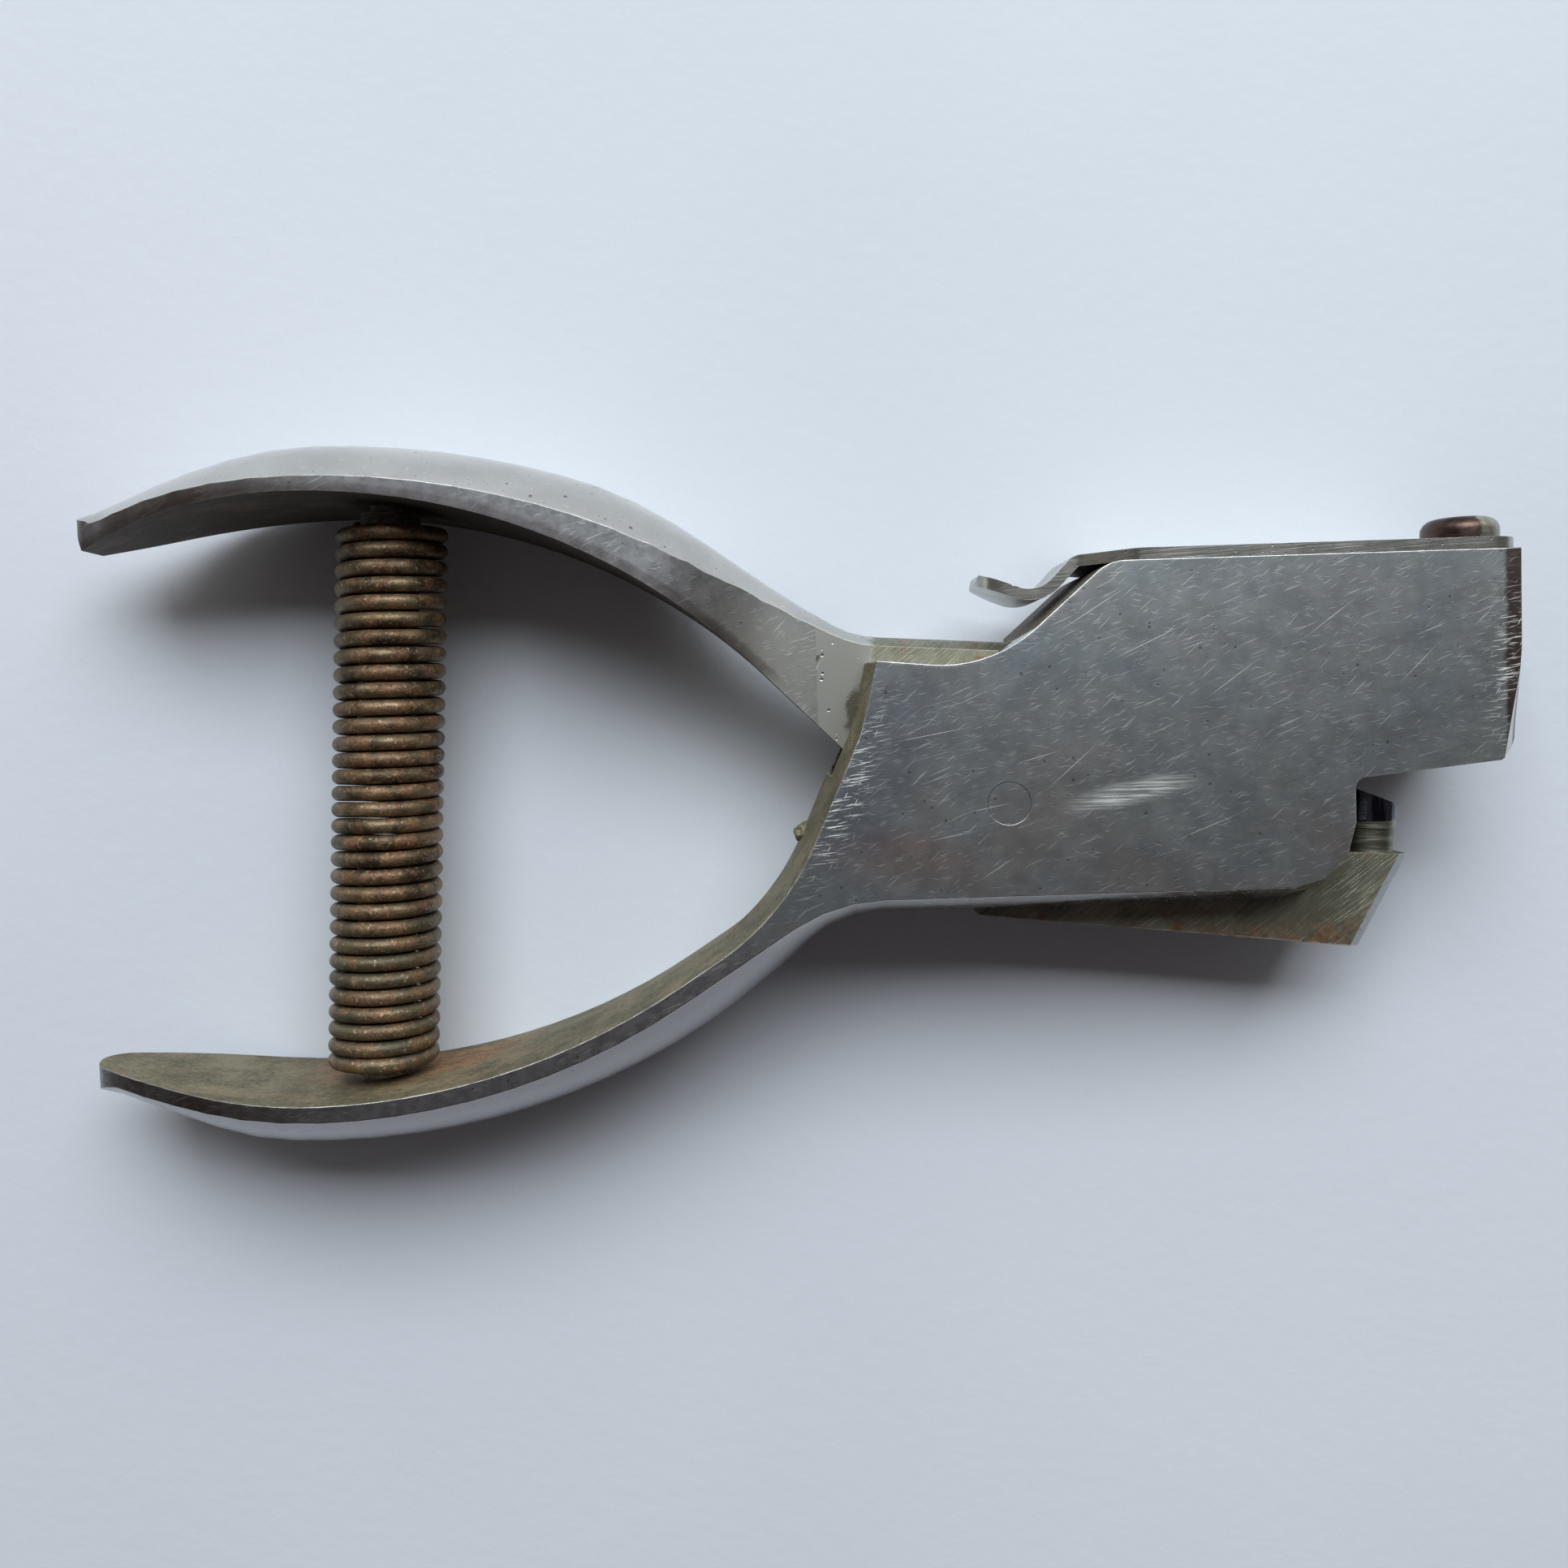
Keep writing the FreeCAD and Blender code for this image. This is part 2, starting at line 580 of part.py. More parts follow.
def upper_rim_path():
    """Where the round top of the lever meets its flat sides."""
    back = (UPPER_RIM_BACK_X, UPPER_RIM_BACK_Y)
    front = (UPPER_RIM_FRONT_X, UPPER_RIM_FRONT_Y)
    top = (NECK_TOP_X, NECK_TOP_Y)
    bow = meet(back, UPPER_RIM_BACK_SLOPE, front, UPPER_RIM_FRONT_SLOPE)
    neck = meet(front, UPPER_RIM_FRONT_SLOPE, top, NECK_TOP_SLOPE)
    end = meet(top, NECK_TOP_SLOPE, (BLADE_TOP_X + 2 * MARGIN, 0.0), 90.0)
    return [
        (UPPER_TIP - PAST_TIP, UPPER_RIM_TIP_Y),
        (bow[0], bow[1], UPPER_RIM_RADIUS),
        (neck[0], neck[1], NECK_TOP_RADIUS),
        end,
    ]


def neck_half_width(x):
    """Half the lever's width where it narrows in two round sweeps."""
    drop = MID - BLADE_THICKNESS / 2
    length = NECK_END - NECK_START
    radius = (length ** 2 + drop ** 2) / (4 * drop)
    past = min(max(x - NECK_START, 0.0), length)
    if past < length / 2:
        return MID - radius + math.sqrt(radius ** 2 - past ** 2)
    return MID - drop + radius - math.sqrt(radius ** 2 - (length - past) ** 2)


def upper_half_width(point):
    if point.x > NECK_START:
        return neck_half_width(point.x)
    return tip_half_width(point.x, UPPER_TIP, UPPER_TIP_HALF_WIDTH)


def upper_crown_height(point):
    if point.x < (UPPER_CROWN_X + UPPER_CROWN_END_X) / 2:
        return smooth_step(point.x, UPPER_TIP, UPPER_CROWN_X, UPPER_TIP_CROWN, UPPER_CROWN)
    return smooth_step(point.x, UPPER_CROWN_END_X, NECK_CROWN_X, UPPER_CROWN, NECK_CROWN)


def lever_plan():
    """Plan of the lever in X and Z, narrowing from handle to blade."""
    tip = tip_plan(UPPER_TIP, UPPER_TIP_HALF_WIDTH, NECK_START)
    half = BLADE_THICKNESS / 2
    mid_x = (NECK_START + NECK_END) / 2
    first = (NECK_START + mid_x) / 2
    second = (mid_x + NECK_END) / 2
    sweep = []
    for sign in (-1, 1):
        points = [vec(x, sign * neck_half_width(x)) for x in (NECK_START, first, mid_x, second, NECK_END)]
        sweep.append(Part.Arc(points[0], points[1], points[2]).toShape())
        sweep.append(Part.Arc(points[2], points[3], points[4]).toShape())
        sweep.append(Part.LineSegment(points[4], vec(REACH, sign * half)).toShape())
    end = Part.LineSegment(vec(REACH, -half), vec(REACH, half)).toShape()
    return Part.Wire(Part.sortEdges(tip + sweep + [end])[0]).Edges


def end_face_cut():
    """What lies beyond the slanting end face of the upper handle."""
    corner = (UPPER_TIP, END_FACE_Y)
    low = along(corner, END_FACE_ANGLE, -REACH)
    high = along(corner, END_FACE_ANGLE, REACH)
    far_x = low[0] - 2 * REACH
    return prism([low, high, (far_x, high[1]), (far_x, low[1])], -MARGIN, BODY_WIDTH + MARGIN)


def jaw_front():
    """Corner between the punch's seat and the front of the moving jaw."""
    return meet(punch_point(-PUNCH_SEAT_DROP), PUNCH_ANGLE, (JAW_FRONT_X, 0.0), 90.0)


def lever_outline():
    inner = upper_inner_path()
    rim = upper_rim_path()
    deep = UPPER_CROWN + STOCK
    toe = (JAW_TOE_X, JAW_TOE_Y)
    heel = meet(polar(HEEL_DISTANCE, HEEL_ANGLE), HEEL_ANGLE + 90, toe, BLADE_BOTTOM_ANGLE)
    seat = punch_point(-PUNCH_SEAT_DROP)
    seat_left = meet(seat, PUNCH_ANGLE, (JAW_ROOT_X, 0.0), 90.0)
    return inner + [
        (heel[0], heel[1], BLADE_HEEL_RADIUS),
        toe,
        jaw_front(),
        (seat_left[0], seat_left[1], JAW_ROOT_RADIUS),
        (BLADE_TOP_X, BLADE_TOP_Y),
        (BLADE_TOP_X, BLADE_TOP_Y + STOCK),
        (rim[2][0], rim[2][1] + NECK_CROWN + 2 * STOCK),
        (rim[1][0], rim[1][1] + deep + STOCK, UPPER_RIM_RADIUS),
        (rim[0][0], rim[0][1] + deep),
    ]


def jaw_bevels():
    """What the bevels on the front of the moving jaw take away."""
    front = jaw_front()
    slant = math.degrees(math.atan2(front[1] - JAW_TOE_Y, front[0] - JAW_TOE_X))
    length = math.hypot(front[0] - JAW_TOE_X, front[1] - JAW_TOE_Y)
    cutters = []
    for sign in (-1, 1):
        face_z = MID + sign * BLADE_THICKNESS / 2
        far = vec(MARGIN, 0, -sign * (JAW_BEVEL + MARGIN))
        section = [vec(-JAW_BEVEL, 0, 0), vec(MARGIN, 0, 0), far]
        wire = Part.makePolygon(section + [section[0]])
        face = Part.Face(wire)
        face.rotate(vec(0, 0, 0), vec(0, 0, 1), slant - 90)
        start = along((JAW_TOE_X, JAW_TOE_Y), slant, -JAW_BEVEL - MARGIN)
        face.translate(vec(start[0], start[1], face_z))
        dx, dy = polar(length + 2 * (JAW_BEVEL + MARGIN), slant)
        cutters.append(face.extrude(vec(dx, dy, 0)))
    return cutters[0].fuse(cutters[1])


def make_lever():
    lever = prism(lever_outline(), 0, BODY_WIDTH)
    lever = lever.cut(outside_crown(upper_rim_path(), upper_half_width, upper_crown_height, -1))
    lever = lever.common(plan_solid(lever_plan()))
    lever = lever.cut(end_face_cut())
    lever = lever.cut(jaw_bevels())
    hole = PIVOT_PIN_DIAMETER / 2 + PIVOT_CLEARANCE
    lever = lever.cut(Part.makeCylinder(hole, BODY_WIDTH))
    lever = lever.cut(stem_socket(upper_stem_place()))
    seat = punch_point(-PUNCH_SEAT_DROP - PUNCH_STEM_LENGTH)
    return lever.cut(rod(seat, PUNCH_ANGLE + 90, PUNCH_STEM_DIAMETER / 2, PUNCH_STEM_LENGTH + MARGIN))


def punch_point(rise):
    return along(polar(PUNCH_ARM, PUNCH_ANGLE), PUNCH_ANGLE + 90, rise)


def make_punch():
    up = PUNCH_ANGLE + 90
    low = -PUNCH_SEAT_DROP
    tip_length = PUNCH_TIP_DROP + PUNCH_TIP_RISE + PUNCH_DIAMETER
    stem = rod(punch_point(low - PUNCH_STEM_LENGTH), up, PUNCH_STEM_DIAMETER / 2, PUNCH_STEM_LENGTH)
    shank = rod(punch_point(low), up, PUNCH_SHANK_DIAMETER / 2, PUNCH_SEAT_DROP - PUNCH_TIP_DROP)
    tip = rod(punch_point(-PUNCH_TIP_DROP), up, PUNCH_DIAMETER / 2, tip_length)
    top = punch_point(PUNCH_TIP_RISE)
    face = PUNCH_ANGLE - PUNCH_SHEAR_ANGLE
    left = along(top, face, -PUNCH_DIAMETER)
    right = along(top, face, PUNCH_DIAMETER)
    above = [left, right, along(right, up, 2 * PUNCH_DIAMETER), along(left, up, 2 * PUNCH_DIAMETER)]
    tip = tip.cut(prism(above, -MARGIN, BODY_WIDTH + MARGIN))
    return stem.fuse(shank).fuse(tip).removeSplitter()


def make_die():
    up = DIE_ANGLE + 90
    middle = polar(PUNCH_ARM, DIE_ANGLE)
    face = along(middle, up, -DIE_FACE_DROP)
    hole = PUNCH_DIAMETER / 2 + DIE_CLEARANCE
    die = rod(face, up, DIE_DIAMETER / 2, DIE_LENGTH)
    die = die.cut(rod(along(face, up, -MARGIN), up, hole, DIE_LENGTH + 2 * MARGIN))
    return die.cut(rod(along(face, up, DIE_LAND), up, hole + DIE_RELIEF, DIE_LENGTH))


def make_stem(place):
    """A stem from its tenon in the handle to its free end."""
    tip, foot, lean = place
    length = math.hypot(foot[0] - tip[0], foot[1] - tip[1]) - STEM_SHOULDER_GAP
    dx, dy = polar(1.0, lean)
    radius = STEM_DIAMETER / 2
    end = Part.makeCone(radius - STEM_CHAMFER, radius, STEM_CHAMFER, vec(tip[0], tip[1], MID), vec(dx, dy, 0))
    shank = rod(along(tip, lean, STEM_CHAMFER), lean, radius, length - STEM_CHAMFER)
    tenon_length = STEM_TENON_LENGTH + STEM_SHOULDER_GAP
    tenon = rod(along(tip, lean, length), lean, STEM_TENON_DIAMETER / 2, tenon_length)
    return end.fuse(shank).fuse(tenon).removeSplitter()


def make_spring():
    top_seat, bottom_seat = spring_seats()
    inset = SPRING_WIRE / 2 + SPRING_END_GAP + SPRING_SEAT_RISE
    top = vec(top_seat[0], top_seat[1] - inset)
    bottom = vec(bottom_seat[0], bottom_seat[1] + inset)
    length = (top - bottom).Length
    close = SPRING_CLOSE_TURNS * SPRING_CLOSE_PITCH
    open_pitch = (length - close - 2 * SPRING_END_PITCH) / (2 * SPRING_OPEN_TURNS)
    runs = [
        (1, SPRING_END_PITCH),
        (SPRING_OPEN_TURNS, open_pitch),
        (SPRING_CLOSE_TURNS, SPRING_CLOSE_PITCH),
        (SPRING_OPEN_TURNS, open_pitch),
        (1, SPRING_END_PITCH),
    ]
    radius = (SPRING_DIAMETER - SPRING_WIRE) / 2
    points = []
    rise = 0.0
    turn = 0.0
    for turns, pitch in runs:
        for k in range(turns * POINTS_PER_TURN):
            x, y = polar(radius, turn * 360)
            points.append(vec(x, y, rise))
            turn += 1 / POINTS_PER_TURN
            rise += pitch / POINTS_PER_TURN
    x, y = polar(radius, turn * 360)
    points.append(vec(x, y, rise))
    curve = Part.BSplineCurve()
    curve.interpolate(points)
    path = Part.Wire(curve.toShape())
    ring = Part.Circle(points[0], curve.tangent(curve.FirstParameter)[0], SPRING_WIRE / 2).toShape()
    sweep = Part.BRepOffsetAPI.MakePipeShell(path)
    sweep.setAuxiliarySpine(Part.Wire(Part.LineSegment(vec(0, 0, 0), vec(0, 0, rise)).toShape()), True, 0)
    sweep.add(Part.Wire(ring))
    sweep.build()
    sweep.makeSolid()
    spring = sweep.shape()
    turned = FreeCAD.Rotation(vec(0, 0, 1), top - bottom)
    spring.Placement = FreeCAD.Placement(vec(bottom.x, bottom.y, MID), turned)
    return spring


def make_cover():
    low = HEAD_TOP + COVER_GAP
    high = low + COVER_THICKNESS
    hollow = low - TAB_DROP
    bend = (COVER_START, low)
    rise = math.degrees(math.atan2(TAB_TIP_RISE, TAB_TIP_X - TAB_LOW_X))
    tip = meet((TAB_LOW_X, hollow), rise, (TAB_TIP_X, 0.0), 90.0)
    under = meet(bend, BEND_ANGLE, (TAB_LOW_X, hollow), rise)
    shift_tab = along(bend, BEND_ANGLE + 90, COVER_THICKNESS)
    shift_tip = along((TAB_LOW_X, hollow), rise - 90, COVER_THICKNESS)
    bend_top = meet((0.0, high), 0.0, shift_tab, BEND_ANGLE)
    over = meet(shift_tab, BEND_ANGLE, shift_tip, rise)
    tip_top = meet(shift_tip, rise, tip, rise - 90)
    profile = [
        (COVER_END, low),
        (bend[0], bend[1], BEND_RADIUS),
        (under[0], under[1], TAB_HOLLOW_RADIUS + COVER_THICKNESS),
        tip,
        tip_top,
        (over[0], over[1], TAB_HOLLOW_RADIUS),
        (bend_top[0], bend_top[1], BEND_RADIUS + COVER_THICKNESS),
        (COVER_END, high),
    ]
    cover = prism(profile, 0, BODY_WIDTH)
    half = COVER_WIDTH / 2
    tab = TAB_WIDTH / 2
    wing = COVER_START + half - tab
    plan = [
        (COVER_END, half, COVER_CORNER_RADIUS),
        (wing, half, TAB_ROOT_RADIUS),
        (COVER_START, tab, TAB_ROOT_RADIUS),
        (TAB_TIP_X, tab, TAB_CORNER_RADIUS),
        (TAB_TIP_X, -tab, TAB_CORNER_RADIUS),
        (COVER_START, -tab, TAB_ROOT_RADIUS),
        (wing, -half, TAB_ROOT_RADIUS),
        (COVER_END, -half, COVER_CORNER_RADIUS),
    ]
    cover = cover.common(plan_solid(rounded_path(plan)))
    hole = RIVET_SHANK_DIAMETER / 2 + RIVET_CLEARANCE
    return cover.cut(rod((RIVET_X, HEAD_TOP), 90, hole, COVER_THICKNESS + 2 * MARGIN))


def make_rivet():
    base = HEAD_TOP + 2 * COVER_GAP + COVER_THICKNESS
    head = rod((RIVET_X, base), 90, RIVET_HEAD_DIAMETER / 2, RIVET_HEAD_HEIGHT)
    top = base + RIVET_HEAD_HEIGHT
    rim = [edge for edge in head.Edges if edge.Closed and abs(edge.CenterOfMass.y - top) < RIVET_CLEARANCE]
    head = head.makeFillet(RIVET_HEAD_ROUND, rim)
    foot = (RIVET_X, HEAD_TOP - RIVET_DEPTH)
    shank = rod(foot, 90, RIVET_SHANK_DIAMETER / 2, base - foot[1])
    return head.fuse(shank).removeSplitter()


def make_pivot_pin():
    return Part.makeCylinder(PIVOT_PIN_DIAMETER / 2, BODY_WIDTH)


make_body().exportStep("parts/body_forging.step")
make_lever().exportStep("parts/lever_forging.step")
make_pivot_pin().exportStep("parts/pivot_pin.step")
make_die().exportStep("parts/die.step")
make_punch().exportStep("parts/punch.step")
make_stem(lower_stem_place()).exportStep("parts/lower_spring_stem.step")
make_stem(upper_stem_place()).exportStep("parts/upper_spring_stem.step")
make_spring().exportStep("parts/spring.step")
make_cover().exportStep("parts/chip_cover.step")
make_rivet().exportStep("parts/cover_rivet.step")
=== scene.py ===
# %% [markdown]
# # A worn ticket punch
#
# The tool is two nickel-plated forgings on one pin. One forging is the lower
# handle and the slotted head, the other is the upper handle and the thin blade
# that works in the slot. A coil spring keeps them apart. The frame gives each
# piece its true size and place, so this file only has to dress them: it rounds
# the edges, turns the spring about its axis, and gives every surface its wear
# and its painted light and shade.

# %% Load the frame
import math

import bmesh
import bpy
from mathutils import Matrix, Vector, noise as space_noise


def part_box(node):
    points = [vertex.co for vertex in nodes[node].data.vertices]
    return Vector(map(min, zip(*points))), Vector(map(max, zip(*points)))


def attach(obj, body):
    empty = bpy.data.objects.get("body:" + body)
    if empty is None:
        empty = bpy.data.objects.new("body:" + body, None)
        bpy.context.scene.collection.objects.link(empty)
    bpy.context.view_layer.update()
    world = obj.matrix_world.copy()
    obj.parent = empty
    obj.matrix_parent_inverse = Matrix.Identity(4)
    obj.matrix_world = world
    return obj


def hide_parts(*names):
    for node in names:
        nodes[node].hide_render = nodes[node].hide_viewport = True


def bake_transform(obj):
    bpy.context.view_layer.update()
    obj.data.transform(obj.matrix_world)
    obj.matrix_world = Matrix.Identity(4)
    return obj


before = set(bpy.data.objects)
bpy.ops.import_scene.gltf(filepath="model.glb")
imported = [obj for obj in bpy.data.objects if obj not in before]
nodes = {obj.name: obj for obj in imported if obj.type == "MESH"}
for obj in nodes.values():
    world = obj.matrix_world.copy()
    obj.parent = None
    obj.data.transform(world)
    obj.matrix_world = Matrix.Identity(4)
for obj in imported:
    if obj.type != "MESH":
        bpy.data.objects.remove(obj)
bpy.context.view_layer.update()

MM = 0.001
print("pieces in the frame:", ", ".join(sorted(nodes)))

# %% [markdown]
# ## The camera
#
# The photograph was taken from straight above, close enough that the sides of
# the tool lean outwards in the picture. A wide lens from far away would lose
# that, so the camera stands at the same height and uses the same field of view.
# The height, tilt and roll were worked out from the near and far edges of the
# handles, which both show in the photograph.

# %% Camera above the tool
SENSOR = 36.0
PICTURE_SIZE = 1932          # width and height of the picture, in pixels
FOCAL_LENGTH = 1756          # in the same pixels
CAMERA_PLACE = Vector((-20.83, 8.61, 153.0)) * MM
CAMERA_TILT = math.radians(2.64)
CAMERA_ROLL = math.radians(1.8)
NEAREST_SEEN = 10 * MM
STRAIGHT_UP = Vector((0, 0, 1))

picture_right = Vector((math.cos(CAMERA_ROLL), -math.sin(CAMERA_ROLL), 0))
picture_up = Vector((math.sin(CAMERA_ROLL), math.cos(CAMERA_ROLL), 0))
backwards = picture_up * math.sin(CAMERA_TILT) + STRAIGHT_UP * math.cos(CAMERA_TILT)
upwards = picture_up * math.cos(CAMERA_TILT) - STRAIGHT_UP * math.sin(CAMERA_TILT)

camera_data = bpy.data.cameras.new("camera")
camera_data.sensor_width = SENSOR
camera_data.sensor_height = SENSOR
camera_data.lens = SENSOR * (FOCAL_LENGTH / PICTURE_SIZE)
camera_data.clip_start = NEAREST_SEEN
camera = bpy.data.objects.new("camera", camera_data)
turn = Matrix((picture_right, upwards, backwards)).transposed().to_4x4()
camera.matrix_world = Matrix.Translation(CAMERA_PLACE) @ turn
bpy.context.scene.collection.objects.link(camera)
bpy.context.scene.camera = camera
bpy.context.scene.view_settings.view_transform = "Standard"
print("lens", round(camera_data.lens, 2), "mm")

# %% [markdown]
# ## Building materials from small parts
#
# Every finish below is a tree of nodes. Writing such a tree by hand soon gets
# long, so these helpers add one node and join its inputs in a single call. A
# helper returns the socket it makes, so that calls can be nested like a formula.

# %% Node helpers
def new_tree_node(tree, kind, **settings):
    node = tree.nodes.new(kind)
    for name, value in settings.items():
        setattr(node, name, value)
    return node


def feed(tree, socket, value):
    """Join a socket to another one, or set it to a plain value."""
    if isinstance(value, bpy.types.NodeSocket):
        tree.links.new(value, socket)
    else:
        socket.default_value = (*value, 1.0) if socket.type == "RGBA" else value


def plug(tree, node, **inputs):
    """Join or set a node's inputs by name, with spaces written as underscores."""
    for name, value in inputs.items():
        feed(tree, node.inputs[name.replace("_", " ")], value)
    return node


def maths(tree, operation, a, b=0.0):
    node = new_tree_node(tree, "ShaderNodeMath", operation=operation)
    feed(tree, node.inputs[0], a)
    feed(tree, node.inputs[1], b)
    return node.outputs[0]


def remap(tree, value, low, high, to_low=0.0, to_high=1.0):
    """Stretch low..high to to_low..to_high, with a soft start and end."""
    node = new_tree_node(tree, "ShaderNodeMapRange", interpolation_type="SMOOTHSTEP")
    plug(tree, node, Value=value, From_Min=low, From_Max=high, To_Min=to_low, To_Max=to_high)
    return node.outputs["Result"]


MIX_SHARE, MIX_A, MIX_B = 0, 6, 7     # a Mix node's sockets for colours
MIX_RESULT = 2


def mix_colour(tree, share, a, b):
    node = new_tree_node(tree, "ShaderNodeMix", data_type="RGBA")
    for index, value in ((MIX_SHARE, share), (MIX_A, a), (MIX_B, b)):
        feed(tree, node.inputs[index], value)
    return node.outputs[MIX_RESULT]


def noise(tree, vector, scale, detail=3.0, roughness=0.55, distortion=0.0):
    node = new_tree_node(tree, "ShaderNodeTexNoise")
    plug(
        tree, node, Vector=vector, Scale=scale, Detail=detail, Roughness=roughness,
        Distortion=distortion,
    )
    return node.outputs["Fac"]


def placed(tree, vector, move=(0, 0, 0), turn=(0, 0, 0), stretch=(1, 1, 1)):
    """Move, turn and stretch a pattern."""
    node = new_tree_node(tree, "ShaderNodeMapping", vector_type="POINT")
    plug(tree, node, Vector=vector, Location=move, Rotation=turn, Scale=stretch)
    return node.outputs["Vector"]


def new_group(name, inputs, outputs):
    """A shader group with these sockets, and its input and output nodes."""
    tree = bpy.data.node_groups.new(name, "ShaderNodeTree")
    for label, kind, value in inputs:
        socket = tree.interface.new_socket(label, in_out="INPUT", socket_type="NodeSocket" + kind)
        if value is not None:
            socket.default_value = value
    for label, kind in outputs:
        tree.interface.new_socket(label, in_out="OUTPUT", socket_type="NodeSocket" + kind)
    return tree, tree.nodes.new("NodeGroupInput").outputs, tree.nodes.new("NodeGroupOutput")


def use_group(tree, group, **inputs):
    node = new_tree_node(tree, "ShaderNodeGroup", node_tree=group)
    return plug(tree, node, **inputs).outputs


def spot(tree, where, centre, size, angle=0.0, soft=0.5):
    """1 inside an ellipsoid and 0 outside. Its places and sizes are in millimetres."""
    node = new_tree_node(tree, "ShaderNodeMapping", vector_type="TEXTURE")
    place = tuple(value * MM for value in centre)
    scale = tuple(value * MM for value in size)
    plug(tree, node, Vector=where, Location=place, Rotation=(0, 0, math.radians(angle)), Scale=scale)
    length = new_tree_node(tree, "ShaderNodeVectorMath", operation="LENGTH")
    tree.links.new(node.outputs["Vector"], length.inputs[0])
    return remap(tree, length.outputs["Value"], 1.0, 1.0 - soft)


def axes_of(tree, where):
    """The X, Y and Z of a place, as three sockets."""
    return plug(tree, new_tree_node(tree, "ShaderNodeSeparateXYZ"), Vector=where).outputs


def chain(tree, operation, values):
    """Join any number of values with one operation."""
    result = values[0]
    for value in values[1:]:
        result = maths(tree, operation, result, value)
    return result


def total(tree, *values):
    return chain(tree, "ADD", values)


def product(tree, *values):
    return chain(tree, "MULTIPLY", values)


def most(tree, *values):
    return chain(tree, "MAXIMUM", values)


print("node helpers ready")

# %% [markdown]
# ## Scratches
#
# There are two kinds. Long hairlines come from noise that is squeezed hard
# along one axis: only its highest crests are kept. Short nicks come from cells
# that are stretched the same way, with one slim ellipse in some of the cells.
# Each layer has one direction, and a worn surface takes several layers.

# %% Hairlines and nicks
WOBBLE_SCALE = 70.0
WOBBLE = 1.2 * MM            # how far a long scratch strays from a straight line


def scratch_group(name, along, across, last_input, value):
    """A new group with the inputs that both kinds of scratch take."""
    inputs = [
        ("Vector", "Vector", None), ("Angle", "Float", 0.0), ("Along", "Float", along),
        ("Across", "Float", across), ("Deep", "Float", 0.0), (last_input, "Float", value),
    ]
    return new_group(name, inputs, [("Mask", "Float")])


def stretched(tree, given):
    """Turn a place about Z, then scale it by different amounts on each axis."""
    turned = new_tree_node(tree, "ShaderNodeVectorRotate", rotation_type="Z_AXIS")
    plug(tree, turned, Vector=given["Vector"], Angle=given["Angle"])
    parts = axes_of(tree, turned.outputs["Vector"])
    wobble = noise(tree, turned.outputs["Vector"], WOBBLE_SCALE, 1.0)
    bent = total(tree, parts["Y"], product(tree, wobble, WOBBLE))
    joined = new_tree_node(tree, "ShaderNodeCombineXYZ")
    plug(
        tree, joined, X=product(tree, parts["X"], given["Along"]),
        Y=product(tree, bent, given["Across"]), Z=product(tree, parts["Z"], given["Deep"]),
    )
    return joined.outputs["Vector"]


def make_hairline_group():
    tree, given, out = scratch_group("hairlines", 90.0, 4000.0, "Low", 0.66)
    place = stretched(tree, given)
    streak = noise(tree, place, 1.0, 2.0, 0.6)
    crest = remap(tree, streak, given["Low"], total(tree, given["Low"], 0.07))
    plug(tree, out, Mask=crest)
    return tree


def make_nick_group():
    tree, given, out = scratch_group("nicks", 300.0, 2500.0, "Share", 0.3)
    place = stretched(tree, given)
    cells = plug(tree, new_tree_node(tree, "ShaderNodeTexVoronoi"), Vector=place, Scale=1.0)
    chance = plug(tree, new_tree_node(tree, "ShaderNodeSeparateColor"), Color=cells.outputs["Color"])
    reach = remap(tree, chance.outputs["Green"], 0.0, 1.0, 0.08, 0.34)
    line = remap(tree, cells.outputs["Distance"], reach, product(tree, reach, 0.4))
    chosen = maths(tree, "LESS_THAN", chance.outputs["Red"], given["Share"])
    plug(tree, out, Mask=product(tree, line, chosen))
    return tree


hairline_group = make_hairline_group()
nick_group = make_nick_group()


def hairlines(tree, where, angle, along, across, low, deep=0.0):
    return use_group(
        tree, hairline_group, Vector=where, Angle=math.radians(-angle), Along=along,
        Across=across, Deep=deep, Low=low,
    )["Mask"]


def nicks(tree, where, angle, along, across, share, deep=0.0):
    return use_group(
        tree, nick_group, Vector=where, Angle=math.radians(-angle), Along=along,
        Across=across, Deep=deep, Share=share,
    )["Mask"]


print("scratch groups:", hairline_group.name, nick_group.name)

# %% [markdown]
# ## Grain, pits, rust and bright edges
#
# The other marks of age are shared as well. Grain is the trace of a file or a
# polishing wheel. Pits are tiny dark craters. Rust grows in patches where the
# plating has gone. Edges are painted bright, partly as rubbed wear and partly as
# a painted highlight, and the Bevel node finds them: it gives the normal that a
# rounded edge would have, and the difference from the real normal marks the edge.

# %% Groups for the other marks
RUST_TONES = (0.075, 0.033, 0.016), (0.27, 0.115, 0.045)


def make_grain_group():
    inputs = [("Vector", "Vector", None), ("Angle", "Float", 0.0), ("Fineness", "Float", 2500.0)]
    tree, given, out = new_group("grain", inputs, [("Height", "Float")])
    turned = new_tree_node(tree, "ShaderNodeVectorRotate", rotation_type="Z_AXIS")
    plug(tree, turned, Vector=given["Vector"], Angle=given["Angle"])
    squeezed = placed(tree, turned.outputs["Vector"], stretch=(0.04, 1, 0.6))
    plug(tree, out, Height=noise(tree, squeezed, given["Fineness"], 3.0, 0.6))
    return tree


